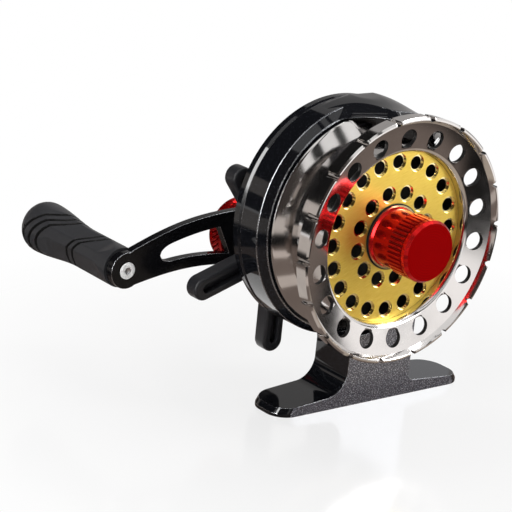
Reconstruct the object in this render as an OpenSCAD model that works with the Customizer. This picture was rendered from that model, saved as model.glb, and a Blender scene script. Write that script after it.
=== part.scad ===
// Geared front-wheel fly reel with a crank, a star drag, a line hood and a rod foot.
// Millimetres. The origin is the centre of the foot's underside, with +Z up and X along the foot.
// The spool axis runs along Y: the spool faces -Y and the crank is on the +Y side.

/* [Gears] */
// Tooth module of both gears
gear_module = 0.6; // [0.5:0.02:0.7]
// Teeth of the drive gear on the crank shaft
gear_teeth = 39; // [33:1:45]
// Teeth of the pinion on the spool shaft
pinion_teeth = 15; // [13:1:18]
// Pressure angle of the teeth
pressure_angle = 25; // [20:1:28]
// Face width of the drive gear
gear_face = 3; // [2:0.1:5]
// Direction of the crank shaft from the spool shaft, from straight down towards -X
handle_angle = 45; // [30:1:60]

/* [Frame] */
// Wall of the frame ring around the gear chamber
ring_wall = 3; // [2:0.1:4]
// How far the frame ring stands out past the spool's rear edge
ring_proud = 2.5; // [2:0.1:4]
// Length of the bevel at the front of the ring
ring_bevel = 2.2; // [1:0.1:3]
// Bevel along the joint of the ring and the rear cover
edge_bevel = 0.35; // [0.2:0.05:0.6]
// Thickness of the rear cover
cover_t = 3.6; // [3:0.1:4.4]
// Bevel of the rear cover's edge
cover_bevel = 0.9; // [0.4:0.1:1.2]
// Screws that hold the rear cover
screw_n = 4; // [3:1:4]
// Shank diameter of a cover screw
screw_d = 2; // [1.6:0.1:2.4]
// Head diameter of a cover screw
screw_head_d = 4; // [3.4:0.1:4.4]
// Wall around a screw hole
screw_boss_wall = 2; // [1.4:0.1:2.4]

/* [Hood] */
// Direction of the hood's middle, from straight up towards +X
hood_angle = 17.5; // [0:0.5:30]
// How far the hood stands out past the ring
hood_over = 1; // [0.6:0.1:2]
// Thickness of the hood at its tip
hood_tip_t = 1.5; // [1:0.1:1.8]
// How far the hood reaches ahead of the ring
hood_reach = 10.9; // [7:0.1:12]
// Width of the hood where it leaves the ring
hood_root_w = 38.8; // [30:0.2:44]
// Width of the hood at its tip
hood_tip_w = 18.2; // [12:0.2:26]

/* [Foot] */
// Height of the spool axis above the foot's underside
axis_height = 50.5; // [46:0.5:58]
// Length of the foot
foot_l = 66.8; // [56:0.2:76]
// Width of the foot and depth of the stem
foot_w = 14; // [12:0.5:16]
// Thickness of the foot at its ends
foot_end_t = 2.2; // [1.6:0.1:2.8]
// Thickness of the foot beside the stem
foot_mid_t = 4; // [3:0.1:5]
// Corner radius of the foot, seen from above
foot_corner_r = 5.5; // [3:0.5:6]
// How far the middle of the foot lies on the +X side of the spool axis
foot_lead = 8.6; // [4:0.2:10]
// How far the middle of the stem lies on the +X side of the middle of the foot
stem_lead = 0.4; // [0:0.2:4]
// Width of the stem
stem_w = 22.6; // [18:0.2:26]
// How far the stem starts ahead of the ring
stem_ahead = 5.4; // [3:0.1:7]
// Radius of the fillet between stem and foot on the -X side
left_fillet_r = 6.5; // [3:0.5:8]
// Radius of the fillet between stem and foot on the +X side
right_fillet_r = 2; // [1:0.5:8]
// Radius of the fillets between stem and ring
ring_fillet_r = 4; // [2:0.5:6]

/* [Spool] */
// How far the front flange stands out past the rear edge
flange_over = 3.5; // [2:0.1:5]
// Thickness of the front flange
flange_t = 1.8; // [1.4:0.1:2.6]
// How far the rim stands ahead of the flange face
rim_front = 2.2; // [1.4:0.1:3]
// How far the rim stands behind the flange
rim_back = 0.5; // [0.2:0.1:1]
// Wall of the rim
rim_wall = 1.8; // [1.4:0.1:2.4]
// Width of the line groove at the drum
groove_w = 11.9; // [10:0.1:16]
// Height of the rear cone above the drum
cone_rise = 4.3; // [3:0.1:6]
// Length of the rear cone
cone_w = 2.7; // [2:0.1:4]
// Thickness of the rear edge
edge_t = 0.4; // [0.3:0.1:0.8]
// Wall of the drum
drum_wall = 2.05; // [1.6:0.05:3]
// Ledge inside the drum that carries the face plate
ledge_w = 1.25; // [0.8:0.05:2]
// Thickness of the spool's rear wall
back_wall_t = 2; // [1.4:0.1:2.4]
// Radius of the spool's hub
hub_r = 6; // [5:0.1:7]
// Vent holes in the front flange, with a rim notch between each two
vent_n = 18; // [12:1:20]
// Diameter of a vent hole
vent_d = 5; // [3.6:0.1:5.4]
// Distance of the vent circle inside the rim
vent_inset = 4; // [3.5:0.1:4.4]
// Turn of the vent pattern
vent_turn = -2.9; // [-10:0.1:10]
// Radius of a rim notch
notch_r = 1; // [0.6:0.1:1.4]
// Bevel at the mouth of each vent and plate hole
hole_bevel = 0.25; // [0.1:0.05:0.4]

/* [Face plate] */
// Thickness of the face plate
plate_t = 1; // [0.8:0.1:1.6]
// Depth of the face plate's front behind the flange face
plate_recess = 3.5; // [3:0.1:5]
// Diameter of a plate hole
plate_hole_d = 4.6; // [3.4:0.1:5]
// Holes in the outer row
outer_row_n = 20; // [14:1:22]
// Distance of the outer row inside the plate's edge
outer_row_inset = 3.1; // [2.9:0.1:4]
// Turn of the outer row
outer_row_turn = -1.5; // [-9:0.5:9]
// Holes in the inner row
inner_row_n = 12; // [8:1:13]
// Distance between the two rows
row_step = 8.25; // [6:0.05:8.4]
// Turn of the inner row
inner_row_turn = 16.3; // [0:0.1:30]

/* [Spool knob] */
// Diameter of the spool knob
knob_d = 16.5; // [13:0.1:17]
// Height of the spool knob
knob_h = 13.8; // [10:0.1:18]
// Thickness of the knob's front wall
knob_front_t = 3.5; // [2:0.1:4]
// Length of the bevel at the knob's front
knob_bevel = 1.7; // [1:0.1:2]
// Length of the smooth collar at the knob's base
knob_base_h = 1.8; // [1:0.1:2.4]
// Length of the smooth band ahead of the knurl
knob_band_h = 1.7; // [1:0.1:2.4]
// Ridges of the knurl on the knob and on the crank nut
knurl_n = 40; // [24:1:48]
// Depth of the knurl
knurl_t = 0.4; // [0.2:0.05:0.6]
// How far the washer shows around the knob
washer_over = 0.65; // [0.2:0.05:1]
// Thickness of the washer
washer_t = 0.6; // [0.4:0.1:1]
// How far the knob unscrews
knob_travel = 2.1; // [1:0.1:3]

/* [Shafts and bearings] */
// Diameter of the spool shaft and of the drive shaft's inner end
shaft_d = 5; // [4:0.1:5.4]
// Outer diameter of the shaft bearings
bearing_d = 10; // [9:0.5:11]
// Width of the shaft bearings
bearing_w = 3; // [2.5:0.1:4]
// Step of the shaft shoulders that locate the spool and the clip
shoulder_t = 0.55; // [0.4:0.05:0.8]
// Thickness of the shaft clip
clip_t = 0.6; // [0.4:0.1:0.8]
// Diameter of the drive shaft where the gear sits
seat_d = 7; // [6.6:0.1:8]
// Diameter of the drive shaft outside the gear
drive_d = 6; // [5:0.1:6.4]
// Width across the two flats that drive the crank
flats_w = 4.4; // [4:0.1:4.8]
// Diameter of the thread for the crank nut
stud_d = 4.4; // [3.6:0.1:4.8]

/* [Drag] */
// Diameter of the drag discs
drag_d = 18; // [14:0.5:19]
// Thickness of a friction washer
drag_washer_t = 0.5; // [0.4:0.1:1]
// Thickness of the shaft flange and of the pressure plate
drag_plate_t = 0.8; // [0.6:0.1:1.4]
// Wall of the clutch sleeve
sleeve_wall = 1.5; // [1:0.1:1.8]
// Wall of the one-way bearing
clutch_wall = 2.5; // [2:0.1:2.8]
// Width of the one-way bearing
clutch_w = 5.2; // [4:0.1:6]
// Wall of the cover's boss around the one-way bearing
boss_wall = 1.5; // [1:0.1:1.8]
// Thickness of the lip that holds the one-way bearing and of the spool bearing's cap
lip_t = 0.5; // [0.4:0.1:1]
// Thickness of one dished spring washer
spring_t = 0.4; // [0.3:0.05:0.6]
// Dish of one spring washer
spring_dish = 0.2; // [0.1:0.05:0.4]
// Width across the flats of the drag nut
nut_flats_w = 10; // [9:0.2:11]
// Thickness of the drag nut
drag_nut_t = 3; // [2:0.1:4]
// Travel of the drag nut each way
nut_travel = 0.375; // [0.2:0.025:0.6]

/* [Star wheel] */
// Arms of the star wheel
star_n = 5; // [4:1:6]
// Reach of a star arm from the crank shaft
star_r = 29.3; // [24:0.1:32]
// Width of a star arm
star_arm_w = 6.4; // [5:0.1:8]
// Thickness of the star wheel
star_t = 4.6; // [3.6:0.1:5.4]
// Radius of the star wheel's hub
star_hub_r = 9.5; // [8.5:0.1:12]
// Width of the slot in each arm
star_slot_w = 2.1; // [1.4:0.1:3]
// Depth of the slot in each arm
star_slot_t = 1.8; // [1:0.1:2.4]
// Thickness of the hub's rear wall
star_back_t = 2; // [1.4:0.1:3]

/* [Crank] */
// Distance from the crank shaft to the grip's pin
crank_r = 41.3; // [36:0.1:48]
// Slope of the crank below -X
crank_slope = 6.8; // [-20:0.2:20]
// Thickness of the crank
crank_t = 2.5; // [2:0.1:3.5]
// Half width of the crank at the shaft
crank_hub_half = 8.3; // [8:0.1:11]
// Half width of the crank at the pin
crank_end_half = 4.7; // [4.4:0.1:6.4]
// Upward bow of the crank's middle
crank_bow = 2.4; // [0:0.1:4]
// How far the round ends of the crank stand out past its edges
crank_boss_over = 0.3; // [0.1:0.05:0.6]
// Width of the rail above the crank's opening
crank_rail_w = 3.8; // [3:0.1:4.6]
// Width of the rail below the crank's opening
crank_low_rail_w = 3.2; // [2.6:0.1:4.6]
// Collar length between the star wheel and the crank
spacer_l = 6.35; // [5:0.05:12]
// Wall of that collar
spacer_wall = 3; // [2:0.1:4]
// Diameter of the crank nut
handle_nut_d = 18.4; // [14:0.1:19]
// Height of the crank nut
handle_nut_h = 6; // [5:0.1:9]
// Thickness of the crank nut's end wall
handle_nut_end_t = 1; // [0.8:0.1:1.6]

/* [Grip] */
// Diameter of the grip's pin
pin_d = 4; // [3:0.1:4.4]
// Diameter of the pin's shoulder
shoulder_d = 5.6; // [5:0.1:6]
// Diameter of the pin's rivet head
rivet_d = 4.6; // [4.4:0.1:6]
// Height of the rivet head
rivet_t = 0.3; // [0.2:0.05:1]
// Length of the grip
grip_l = 41.5; // [34:0.1:48]
// Radius of the grip at its neck
grip_neck_r = 5.45; // [5.2:0.05:7]
// How much the grip's radius swells from the neck to the fat end
grip_swell = 1.9; // [0.4:0.1:2.4]
// Distance of the swell's start from the crank end
grip_swell_at = 17; // [8:0.5:20]
// Length of the swell
grip_swell_l = 21; // [12:0.5:24]
// Half width over the flats at the fat end, as a share of the radius there
grip_flat = 0.87; // [0.8:0.01:0.96]
// Turn of the flats around the pin
grip_turn = 16.2; // [0:0.2:45]
// Length of the rounded end
grip_dome = 4; // [2:0.5:6]
// Depth of the slanted grooves
grip_groove_t = 0.45; // [0.2:0.05:0.8]
// Width of the slanted grooves
grip_groove_w = 1; // [0.6:0.1:1.4]
// Slant of the grooves
grip_groove_slant = 45; // [0:1:50]
// Direction around the pin in which the grooves slant
grip_groove_turn = -66.8; // [-180:0.2:180]
// Outer diameter of the grip's bearings
grip_bearing_d = 7; // [6.6:0.1:7.4]
// Width of the grip's bearings
grip_bearing_w = 2.5; // [2:0.1:3]
// Thickness of the grip's end cap
grip_cap_t = 1.5; // [1:0.1:2.5]
// Diameter of the screw that holds the grip
grip_screw_d = 2; // [1.6:0.1:2.4]
// Thread length of the screw that holds the grip
grip_screw_l = 6; // [4:0.5:10]

/* [Clearances] */
// Radial clearance of shafts, bearings and plugs in their seats
fit = 0.03; // [0.02:0.01:0.06]
// Space between flat faces that turn on each other
face_gap = 0.05; // [0.02:0.01:0.1]
// Space beside parts that turn freely
run_gap = 0.4; // [0.3:0.05:0.8]
// Space around the drive gear inside the ring
gear_gap = 0.5; // [0.4:0.1:1]
// Space between the spool's rear edge and the hood and ring
spool_gap = 0.7; // [0.5:0.1:1.2]
// Space between the rear cover's boss and the star wheel
star_gap = 0.9; // [0.5:0.1:1.5]
// How much each tooth flank is thinned for backlash
tooth_thin = 0.04; // [0.03:0.01:0.06]

/* [Hidden] */
$fn = 96;

// Gears
addendum = gear_module;
dedendum = 1.25 * gear_module;
flank_steps = 4;
gear_centres = gear_module * (gear_teeth + pinion_teeth) / 2;
gear_tip_r = gear_module * gear_teeth / 2 + addendum;
pinion_hub_over = 0.3;

// Radii that follow each other from the gears outwards
chamber_r = gear_centres + gear_tip_r + gear_gap;
ring_r = chamber_r + ring_wall;
ring_mid_r = ring_r - ring_wall / 2;
rear_r = ring_r - ring_proud;
hood_in_r = rear_r + spool_gap;
flange_r = rear_r + flange_over;
rim_in_r = flange_r - rim_wall;
drum_r = rear_r - cone_rise;
recess_r = drum_r - drum_wall;
plate_r = recess_r - face_gap;
vent_circle_r = rim_in_r - vent_inset;
outer_row_r = plate_r - outer_row_inset;
inner_row_r = outer_row_r - row_step;
screw_boss_r = screw_d / 2 + screw_boss_wall;
screw_circle_r = chamber_r - screw_d;
seat_r = seat_d / 2;
drive_r = drive_d / 2;
sleeve_r = drive_r + fit + sleeve_wall;
clutch_r = sleeve_r + fit + clutch_wall;
boss_r = clutch_r + fit + boss_wall;

// Places along the spool axis, measured back from the flange face
groove_back = flange_t + groove_w;
spool_back = groove_back + cone_w + edge_t;
plate_back = plate_recess + plate_t;
knob_back = plate_recess - washer_t - 2 * face_gap;
knob_front = knob_back - knob_h;
knob_bore_front = knob_front + knob_front_t;
shaft_front = knob_bore_front + knob_travel + run_gap;
wall_front = spool_back + shoulder_t + face_gap;
wall_back = wall_front + bearing_w;
drag_front = wall_back + run_gap;
washer_front = drag_front + drag_plate_t;
gear_front = washer_front + drag_washer_t;
gear_back = gear_front + gear_face;
press_front = gear_back + drag_washer_t;
press_back = press_front + drag_plate_t;
cover_front = press_back + run_gap;
cover_back = cover_front + cover_t;
clutch_back = cover_front + clutch_w;
rear_bearing_back = cover_front + bearing_w;
boss_back = max(clutch_back, cover_back) + lip_t;
sleeve_back = boss_back + run_gap;
spring_h = spring_t + spring_dish;
springs_back = sleeve_back + 2 * spring_h;
star_front = boss_back + star_gap;
drag_nut_front = max(springs_back, star_front) + nut_travel + face_gap;
drag_nut_back = drag_nut_front + drag_nut_t;
pocket_back = drag_nut_back + nut_travel + face_gap;
star_back = max(pocket_back, star_front + star_t) + star_back_t;
spacer_front = star_back + face_gap;
crank_front = spacer_front + spacer_l;
crank_back = crank_front + crank_t;
handle_nut_back = crank_back + handle_nut_h;
grip_front = crank_back + run_gap;
grip_back = grip_front + grip_l;
grip_bearing_front = grip_front + run_gap;
grip_cap_front = grip_back - grip_cap_t;
grip_screw_head_t = 1.6;
pin_back = grip_cap_front - run_gap - grip_screw_head_t;
far_bearing_front = pin_back - face_gap - grip_bearing_w;

// The foot and the stem
foot_front = wall_front - stem_ahead;
foot_back = foot_front + foot_w;
foot_middle = foot_front + foot_w / 2;
foot_top_drop = foot_mid_t - foot_end_t;
stem_left = stem_lead - stem_w / 2;
stem_right = stem_lead + stem_w / 2;
stem_top_r = hood_in_r + spool_gap / 3;
blend = 0.1;

// The hood
hood_tip = wall_front - hood_reach;
hood_full = hood_tip + 0.65 * hood_reach;
hood_root = wall_front + ring_bevel + spool_gap;
hood_back = cover_front - 2 * edge_bevel;
hood_r = ring_r + hood_over;

// The crank and its opening, as shares of the crank's length
crank_steps = 24;
slot_top_start = 0.27;
slot_low_start = 0.2;
slot_round_start = 0.66;
slot_end = 0.745;

// The grip's grooves, as distances from the crank end
groove_places = [11.6, 14.2, 25.7, 28.6, 31.7];
grip_steps = 8;
grip_core_wall = 1;

function polar(r, a) = [r * sin(a), r * cos(a)];
function involute_angle(a) = tan(a) * 180 / PI - a;
function arc_angle(length, r) = length / r * 180 / PI;

// Half the angle that a tooth spans at radius r
function tooth_half(r, teeth) =
    let (pitch_r = gear_module * teeth / 2)
    90 / teeth - arc_angle(tooth_thin, pitch_r) + involute_angle(pressure_angle)
    - involute_angle(acos(pitch_r * cos(pressure_angle) / r));

// One tooth with involute flanks, about the direction a
function tooth(teeth, a) =
    let (pitch_r = gear_module * teeth / 2,
        root_r = pitch_r - dedendum,
        tip_r = pitch_r + addendum,
        low_r = max(root_r + tooth_thin, pitch_r * cos(pressure_angle)),
        radii = [for (i = [0:flank_steps]) low_r + (tip_r - low_r) * i / flank_steps])
    concat([polar(root_r, a - tooth_half(low_r, teeth))],
        [for (r = radii) polar(r, a - tooth_half(r, teeth))],
        [for (i = [flank_steps:-1:0]) polar(radii[i], a + tooth_half(radii[i], teeth))],
        [polar(root_r, a + tooth_half(low_r, teeth))]);

function crank_middle(t) = crank_bow * sin(180 * t);
function crank_half(t) = crank_hub_half + (crank_end_half - crank_hub_half) * t;
function slot_round(t) =
    sqrt(1 - pow(max(0, t - slot_round_start) / (slot_end - slot_round_start), 2));
function smooth(t) = let (c = min(1, max(0, t))) c * c * (3 - 2 * c);
function swelling(s) = smooth((s - grip_swell_at) / grip_swell_l);
function grip_r(s) = grip_neck_r + grip_swell * swelling(s);
function grip_half(s) = grip_r(s) * (1.01 + (grip_flat - 1.01) * swelling(s));

// A frame on the spool axis, with y = 0 at the flange face
module at_spool() translate([-foot_lead, -foot_middle, axis_height]) children();

// The same frame moved to the crank shaft
module at_handle() at_spool() rotate([0, handle_angle, 0]) translate([0, 0, -gear_centres])
    rotate([0, -handle_angle, 0]) children();

// A frame on the crank, with x towards the grip and z across the crank
module at_crank() at_handle() rotate([0, -crank_slope, 0]) mirror([1, 0, 0]) children();

module at_pin() at_crank() translate([crank_r, 0, 0]) children();

// A round solid about Y from a profile of [radius, y] points
module lathe(points) rotate([-90, 0, 0]) rotate_extrude() polygon(points);

module rod(r, front, back)
    rotate([-90, 0, 0]) translate([0, 0, front]) cylinder(r = r, h = back - front);

module tube(r, bore, front, back)
    lathe([[bore, front], [r, front], [r, back], [bore, back]]);

// An outline in x and z, made thick along y
module slab(front, back)
    rotate([90, 0, 0]) translate([0, 0, -back]) linear_extrude(back - front) children();

// Copies around Y, with the first one straight up, turned towards +X
module around(n, turn = 0) for (i = [0:n - 1]) rotate([0, turn + 360 * i / n, 0]) children();

// A hole with a bevelled mouth at its front
module bevelled_hole(r, front, back) {
    rod(r, front - hole_bevel, back);
    lathe([[0, front - hole_bevel], [r + 2 * hole_bevel, front - hole_bevel], [r, front + hole_bevel],
        [0, front + hole_bevel]]);
}

// A sealed ball bearing: two rings with a sunk shield between them
module bearing(r, bore, front, back) {
    shield = 0.15;
    third = (r - bore) / 3;
    lathe([[bore, front], [bore + third, front], [bore + third, front + shield],
        [r - third, front + shield], [r - third, front], [r, front], [r, back], [r - third, back],
        [r - third, back - shield], [bore + third, back - shield], [bore + third, back], [bore, back]]);
}

module gear_outline(teeth, turn)
    polygon([for (i = [0:teeth - 1]) each tooth(teeth, turn + 360 * i / teeth)]);

// A ring of ridges, as on a knurled grip, with its ends let into the collars beside it
module knurl(r, front, back) {
    tip_r = r - knurl_t / 4;
    points = [for (i = [0:2 * knurl_n - 1]) polar(tip_r - knurl_t * (i % 2), 180 * i / knurl_n)];
    slab(front - knurl_t / 2, back + knurl_t / 2) polygon(points);
}

module hood() {
    plan = [[-hood_root_w / 2, hood_root], [-hood_tip_w / 2, hood_tip],
        [hood_tip_w / 2, hood_tip], [hood_root_w / 2, hood_root],
        [hood_root_w / 2, hood_back], [-hood_root_w / 2, hood_back]];
    intersection() {
        lathe([[hood_in_r, hood_tip], [hood_in_r + hood_tip_t, hood_tip], [hood_r, hood_full],
            [hood_r, hood_back], [hood_in_r, hood_back]]);
        rotate([0, hood_angle, 0]) linear_extrude(2 * hood_r) polygon(plan);
    }
}

// The corner between the ring and one side of the stem, filled with a round fillet
module ring_fillet(side_x, outward) {
    inside_x = side_x - outward;
    centre_r = ring_r + ring_fillet_r - blend;
    centre_x = side_x + outward * (ring_fillet_r - blend);
    centre_z = -sqrt(pow(centre_r, 2) - pow(centre_x, 2));
    share = ring_mid_r / centre_r;
    difference() {
        polygon([[inside_x, centre_z], [centre_x, centre_z], [centre_x * share, centre_z * share],
            [inside_x, -sqrt(pow(ring_mid_r, 2) - pow(inside_x, 2))]]);
        translate([centre_x, centre_z]) circle(ring_fillet_r);
    }
}

// The corner between the foot and one side of the stem
module foot_fillet(side_x, outward, r) {
    inside_x = side_x - outward;
    centre_x = side_x + outward * (r - blend);
    slope = foot_top_drop / (foot_l / 2 - abs(side_x));
    centre_z = foot_end_t + slope * (foot_l / 2 - abs(centre_x)) + r - blend;
    difference() {
        polygon([[inside_x, foot_end_t / 2], [centre_x, foot_end_t / 2], [centre_x, centre_z],
            [inside_x, centre_z]]);
        translate([centre_x, centre_z]) circle(r);
    }
}

// Foot and stem seen from the front, with z = 0 at the underside
module foot_and_stem_sides() {
    slab(-foot_w / 2, foot_w / 2)
        polygon([[-foot_l / 2, 0], [foot_l / 2, 0], [foot_l / 2, foot_end_t], [stem_right, foot_mid_t],
            [stem_left, foot_mid_t], [-foot_l / 2, foot_end_t]]);
    slab(-foot_w / 2, foot_w / 2) translate([stem_left, foot_end_t / 2])
        square([stem_w, axis_height - chamber_r * 0.75]);
    slab(-foot_w / 2, foot_w / 2) foot_fillet(stem_left, -1, left_fillet_r);
    slab(-foot_w / 2, foot_w / 2) foot_fillet(stem_right, 1, right_fillet_r);
}

module foot_plan() {
    long = foot_l / 2 - foot_corner_r;
    wide = foot_w / 2 - foot_corner_r;
    square([foot_l, 2 * wide], center = true);
    square([2 * long, foot_w], center = true);
    for (x = [-long, long], y = [-wide, wide])
        translate([x, y]) circle(foot_corner_r);
}

module foot_and_stem() difference() {
    intersection() {
        foot_and_stem_sides();
        linear_extrude(axis_height) foot_plan();
    }
    at_spool() rod(stem_top_r, foot_front - 1, foot_back + 1);
}

module frame_ring() {
    lathe([[0, wall_front], [ring_r - ring_bevel + spool_gap / 2, wall_front],
        [ring_r, wall_front + ring_bevel], [ring_r, cover_front - edge_bevel],
        [ring_r - edge_bevel, cover_front], [chamber_r, cover_front], [chamber_r, wall_back],
        [0, wall_back]]);
    slab(wall_front + ring_bevel, foot_back) ring_fillet(foot_lead + stem_left, -1);
    slab(wall_front + ring_bevel, foot_back) ring_fillet(foot_lead + stem_right, 1);
    around(screw_n) translate([0, 0, screw_circle_r])
        rod(screw_boss_r, wall_back - 1, cover_front - face_gap);
}

module frame() color("#1b1c1e") difference() {
    union() {
        at_spool() frame_ring();
        at_spool() hood();
        foot_and_stem();
    }
    at_spool() rod(bearing_d / 2 + fit, wall_front - 1, wall_back + 1);
    at_handle() rod(bearing_d / 2 + fit, wall_front - 1, wall_back + 1);
    at_spool() around(screw_n) translate([0, 0, screw_circle_r])
        rod(screw_d / 2 + fit, wall_back + run_gap, cover_front + 1);
}

module rear_cover() color("#141517") difference() {
    union() {
        at_spool() lathe([[0, cover_front], [ring_r - edge_bevel, cover_front],
            [ring_r, cover_front + edge_bevel], [ring_r, cover_back - cover_bevel],
            [ring_r - cover_bevel, cover_back], [0, cover_back]]);
        at_spool() rod(bearing_d / 2 + boss_wall, cover_front + face_gap, rear_bearing_back + lip_t);
        at_handle() rod(boss_r, cover_front + face_gap, boss_back);
    }
    at_spool() rod(bearing_d / 2 + fit, cover_front - 1, rear_bearing_back);
    at_handle() rod(clutch_r + fit, cover_front - 1, boss_back - lip_t);
    at_handle() rod(sleeve_r + run_gap, cover_front - 1, boss_back + 1);
    at_spool() around(screw_n) translate([0, 0, screw_circle_r]) screw_shape(fit, 1);
}

// A countersunk screw along y, and with extra clearance the hole for it
module screw_shape(clearance, beyond) {
    sink = (screw_head_d - screw_d) / 2;
    lathe([[0, cover_front - 3 * screw_d], [screw_d / 2 + clearance, cover_front - 3 * screw_d],
        [screw_d / 2 + clearance, cover_back - sink - clearance],
        [screw_head_d / 2 + clearance, cover_back - clearance],
        [screw_head_d / 2 + clearance, cover_back + beyond], [0, cover_back + beyond]]);
}

module cover_screws() color("#8d9094") at_spool() around(screw_n) translate([0, 0, screw_circle_r])
    difference() {
        intersection() {
            screw_shape(0, 0.01);
            rod(screw_head_d, max(wall_back + 2 * run_gap, cover_front - 2 * screw_d), cover_back);
        }
        rod(screw_d / 3, cover_back - screw_d / 3, cover_back + 1, $fn = 6);
    }

module spool_bearing_front() color("#c4c7ca")
    at_spool() bearing(bearing_d / 2, shaft_d / 2 + fit, wall_front, wall_back);

module spool_bearing_rear() color("#c4c7ca")
    at_spool() bearing(bearing_d / 2, shaft_d / 2 + fit, cover_front, rear_bearing_back);

module shaft_bearing() color("#c4c7ca")
    at_handle() bearing(bearing_d / 2, shaft_d / 2 + fit, wall_front, wall_back);

module one_way_bearing() color("#b9bdc2")
    at_handle() bearing(clutch_r, sleeve_r + fit, cover_front, clutch_back);

module spool_profile() {
    lip = rim_wall / 4;
    mouth = plate_recess / 2;
    rim_end = flange_t + rim_back;
    lathe([[recess_r + mouth, 0], [rim_in_r, 0], [rim_in_r, lip - rim_front],
        [rim_in_r + lip, -rim_front], [flange_r - 2 * lip, -rim_front], [flange_r, 3 * lip - rim_front],
        [flange_r, rim_end - 2 * lip], [flange_r - 2 * lip, rim_end], [rim_in_r + lip / 2, rim_end],
        [rim_in_r - rim_back, flange_t], [drum_r, flange_t], [drum_r, groove_back],
        [rear_r, spool_back - edge_t], [rear_r, spool_back], [rear_r - cone_rise / 4, spool_back],
        [drum_r, groove_back + back_wall_t], [hub_r, groove_back + back_wall_t], [hub_r, spool_back],
        [shaft_d / 2 + fit, spool_back], [shaft_d / 2 + fit, plate_recess], [hub_r, plate_recess],
        [hub_r, groove_back], [recess_r - ledge_w, groove_back], [recess_r - ledge_w, plate_back],
        [recess_r, plate_back], [recess_r, plate_recess - lip], [recess_r + mouth / 2, lip],
        [recess_r + 3 * mouth / 4, lip / 4]]);
}

module spool() color("#3b3c40") at_spool() difference() {
    spool_profile();
    around(vent_n, vent_turn) translate([0, 0, vent_circle_r])
        bevelled_hole(vent_d / 2, 0, flange_t + hole_bevel);
    around(vent_n, vent_turn + 180 / vent_n) translate([0, 0, flange_r + notch_r / 10])
        rod(notch_r, -rim_front - 1, flange_t + rim_back + 1);
}

module face_plate() color("#c79a45") at_spool() difference() {
    tube(plate_r, hub_r + face_gap, plate_recess, plate_back);
    around(outer_row_n, outer_row_turn) translate([0, 0, outer_row_r])
        bevelled_hole(plate_hole_d / 2, plate_recess, plate_back + 1);
    around(inner_row_n, inner_row_turn) translate([0, 0, inner_row_r])
        bevelled_hole(plate_hole_d / 2, plate_recess, plate_back + 1);
}

module spool_shaft() color("#b9bdc2") at_spool() difference() {
    bevel = shaft_d / 10;
    lathe([[0, shaft_front], [shaft_d / 2 - bevel, shaft_front], [shaft_d / 2, shaft_front + bevel],
        [shaft_d / 2, spool_back], [shaft_d / 2 + 2 * shoulder_t, spool_back],
        [shaft_d / 2 + 2 * shoulder_t, wall_front - face_gap], [shaft_d / 2, wall_front - face_gap],
        [shaft_d / 2, rear_bearing_back - face_gap], [0, rear_bearing_back - face_gap]]);
    tube(shaft_d, shaft_d / 2 - clip_t / 2, wall_back + face_gap, wall_back + face_gap + clip_t);
}

module pinion_gear() color("#c9a14a") at_spool() difference() {
    slab(gear_front - pinion_hub_over, gear_back + pinion_hub_over)
        gear_outline(pinion_teeth, 180 + handle_angle + 180 / pinion_teeth);
    rod(shaft_d / 2 + fit, gear_front - 1, gear_back + 1);
}

module shaft_clip() color("#55585c") at_spool() difference() {
    tube(shaft_d / 2 + 2 * clip_t, shaft_d / 2 - clip_t / 2 + fit, wall_back + face_gap,
        wall_back + face_gap + clip_t);
    slab(wall_back, wall_back + 1 + clip_t) translate([-shaft_d / 4, 0]) square([shaft_d / 2, shaft_d]);
}

module knob_washer() color("#1c1c1d") at_spool()
    tube(knob_d / 2 + washer_over, shaft_d / 2 + fit, plate_recess - face_gap - washer_t,
        plate_recess - face_gap);

module spool_knob() color("#b3231f") at_spool() difference() {
    band_front = knob_front + knob_bevel + knob_band_h;
    union() {
        lathe([[0, knob_front], [0.92 * knob_d / 2, knob_front], [knob_d / 2, knob_front + knob_bevel],
            [knob_d / 2, band_front], [knob_d / 2 - 2 * knurl_t, band_front],
            [knob_d / 2 - 2 * knurl_t, knob_back - knob_base_h], [knob_d / 2, knob_back - knob_base_h],
            [knob_d / 2, knob_back], [0, knob_back]]);
        knurl(knob_d / 2, band_front, knob_back - knob_base_h);
    }
    rod(shaft_d / 2 + fit, knob_bore_front, knob_back + 1);
}

// The crank shaft is round, with two flats where it drives the crank
module drive_shaft() color("#b9bdc2") at_handle() {
    bevel = stud_d / 10;
    stud_back = handle_nut_back - handle_nut_end_t - fit;
    lathe([[0, wall_front + face_gap], [shaft_d / 2, wall_front + face_gap], [shaft_d / 2, drag_front],
        [drag_d / 2, drag_front], [drag_d / 2, washer_front], [seat_r, washer_front],
        [seat_r, press_front], [drive_r, press_front], [drive_r, crank_front], [0, crank_front]]);
    intersection() {
        rod(drive_r, crank_front, crank_back);
        slab(crank_front, crank_back) square([drive_d, flats_w], center = true);
    }
    lathe([[0, crank_back], [stud_d / 2, crank_back], [stud_d / 2, stud_back - bevel],
        [stud_d / 2 - bevel, stud_back], [0, stud_back]]);
}

module drive_gear() color("#c9a14a") at_handle() difference() {
    slab(gear_front, gear_back) gear_outline(gear_teeth, handle_angle);
    rod(seat_r + fit, gear_front - 1, gear_back + 1);
}

module drag_washers() color("#2c2d2f") at_handle() {
    tube(drag_d / 2, seat_r + fit, washer_front, gear_front);
    tube(drag_d / 2, seat_r + fit, gear_back, press_front);
}

module pressure_plate() color("#b9bdc2") at_handle()
    tube(drag_d / 2, drive_r + fit, press_front, press_back);

module clutch_sleeve() color("#aeb2b7") at_handle()
    tube(sleeve_r, drive_r + fit, press_back, sleeve_back);

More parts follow.
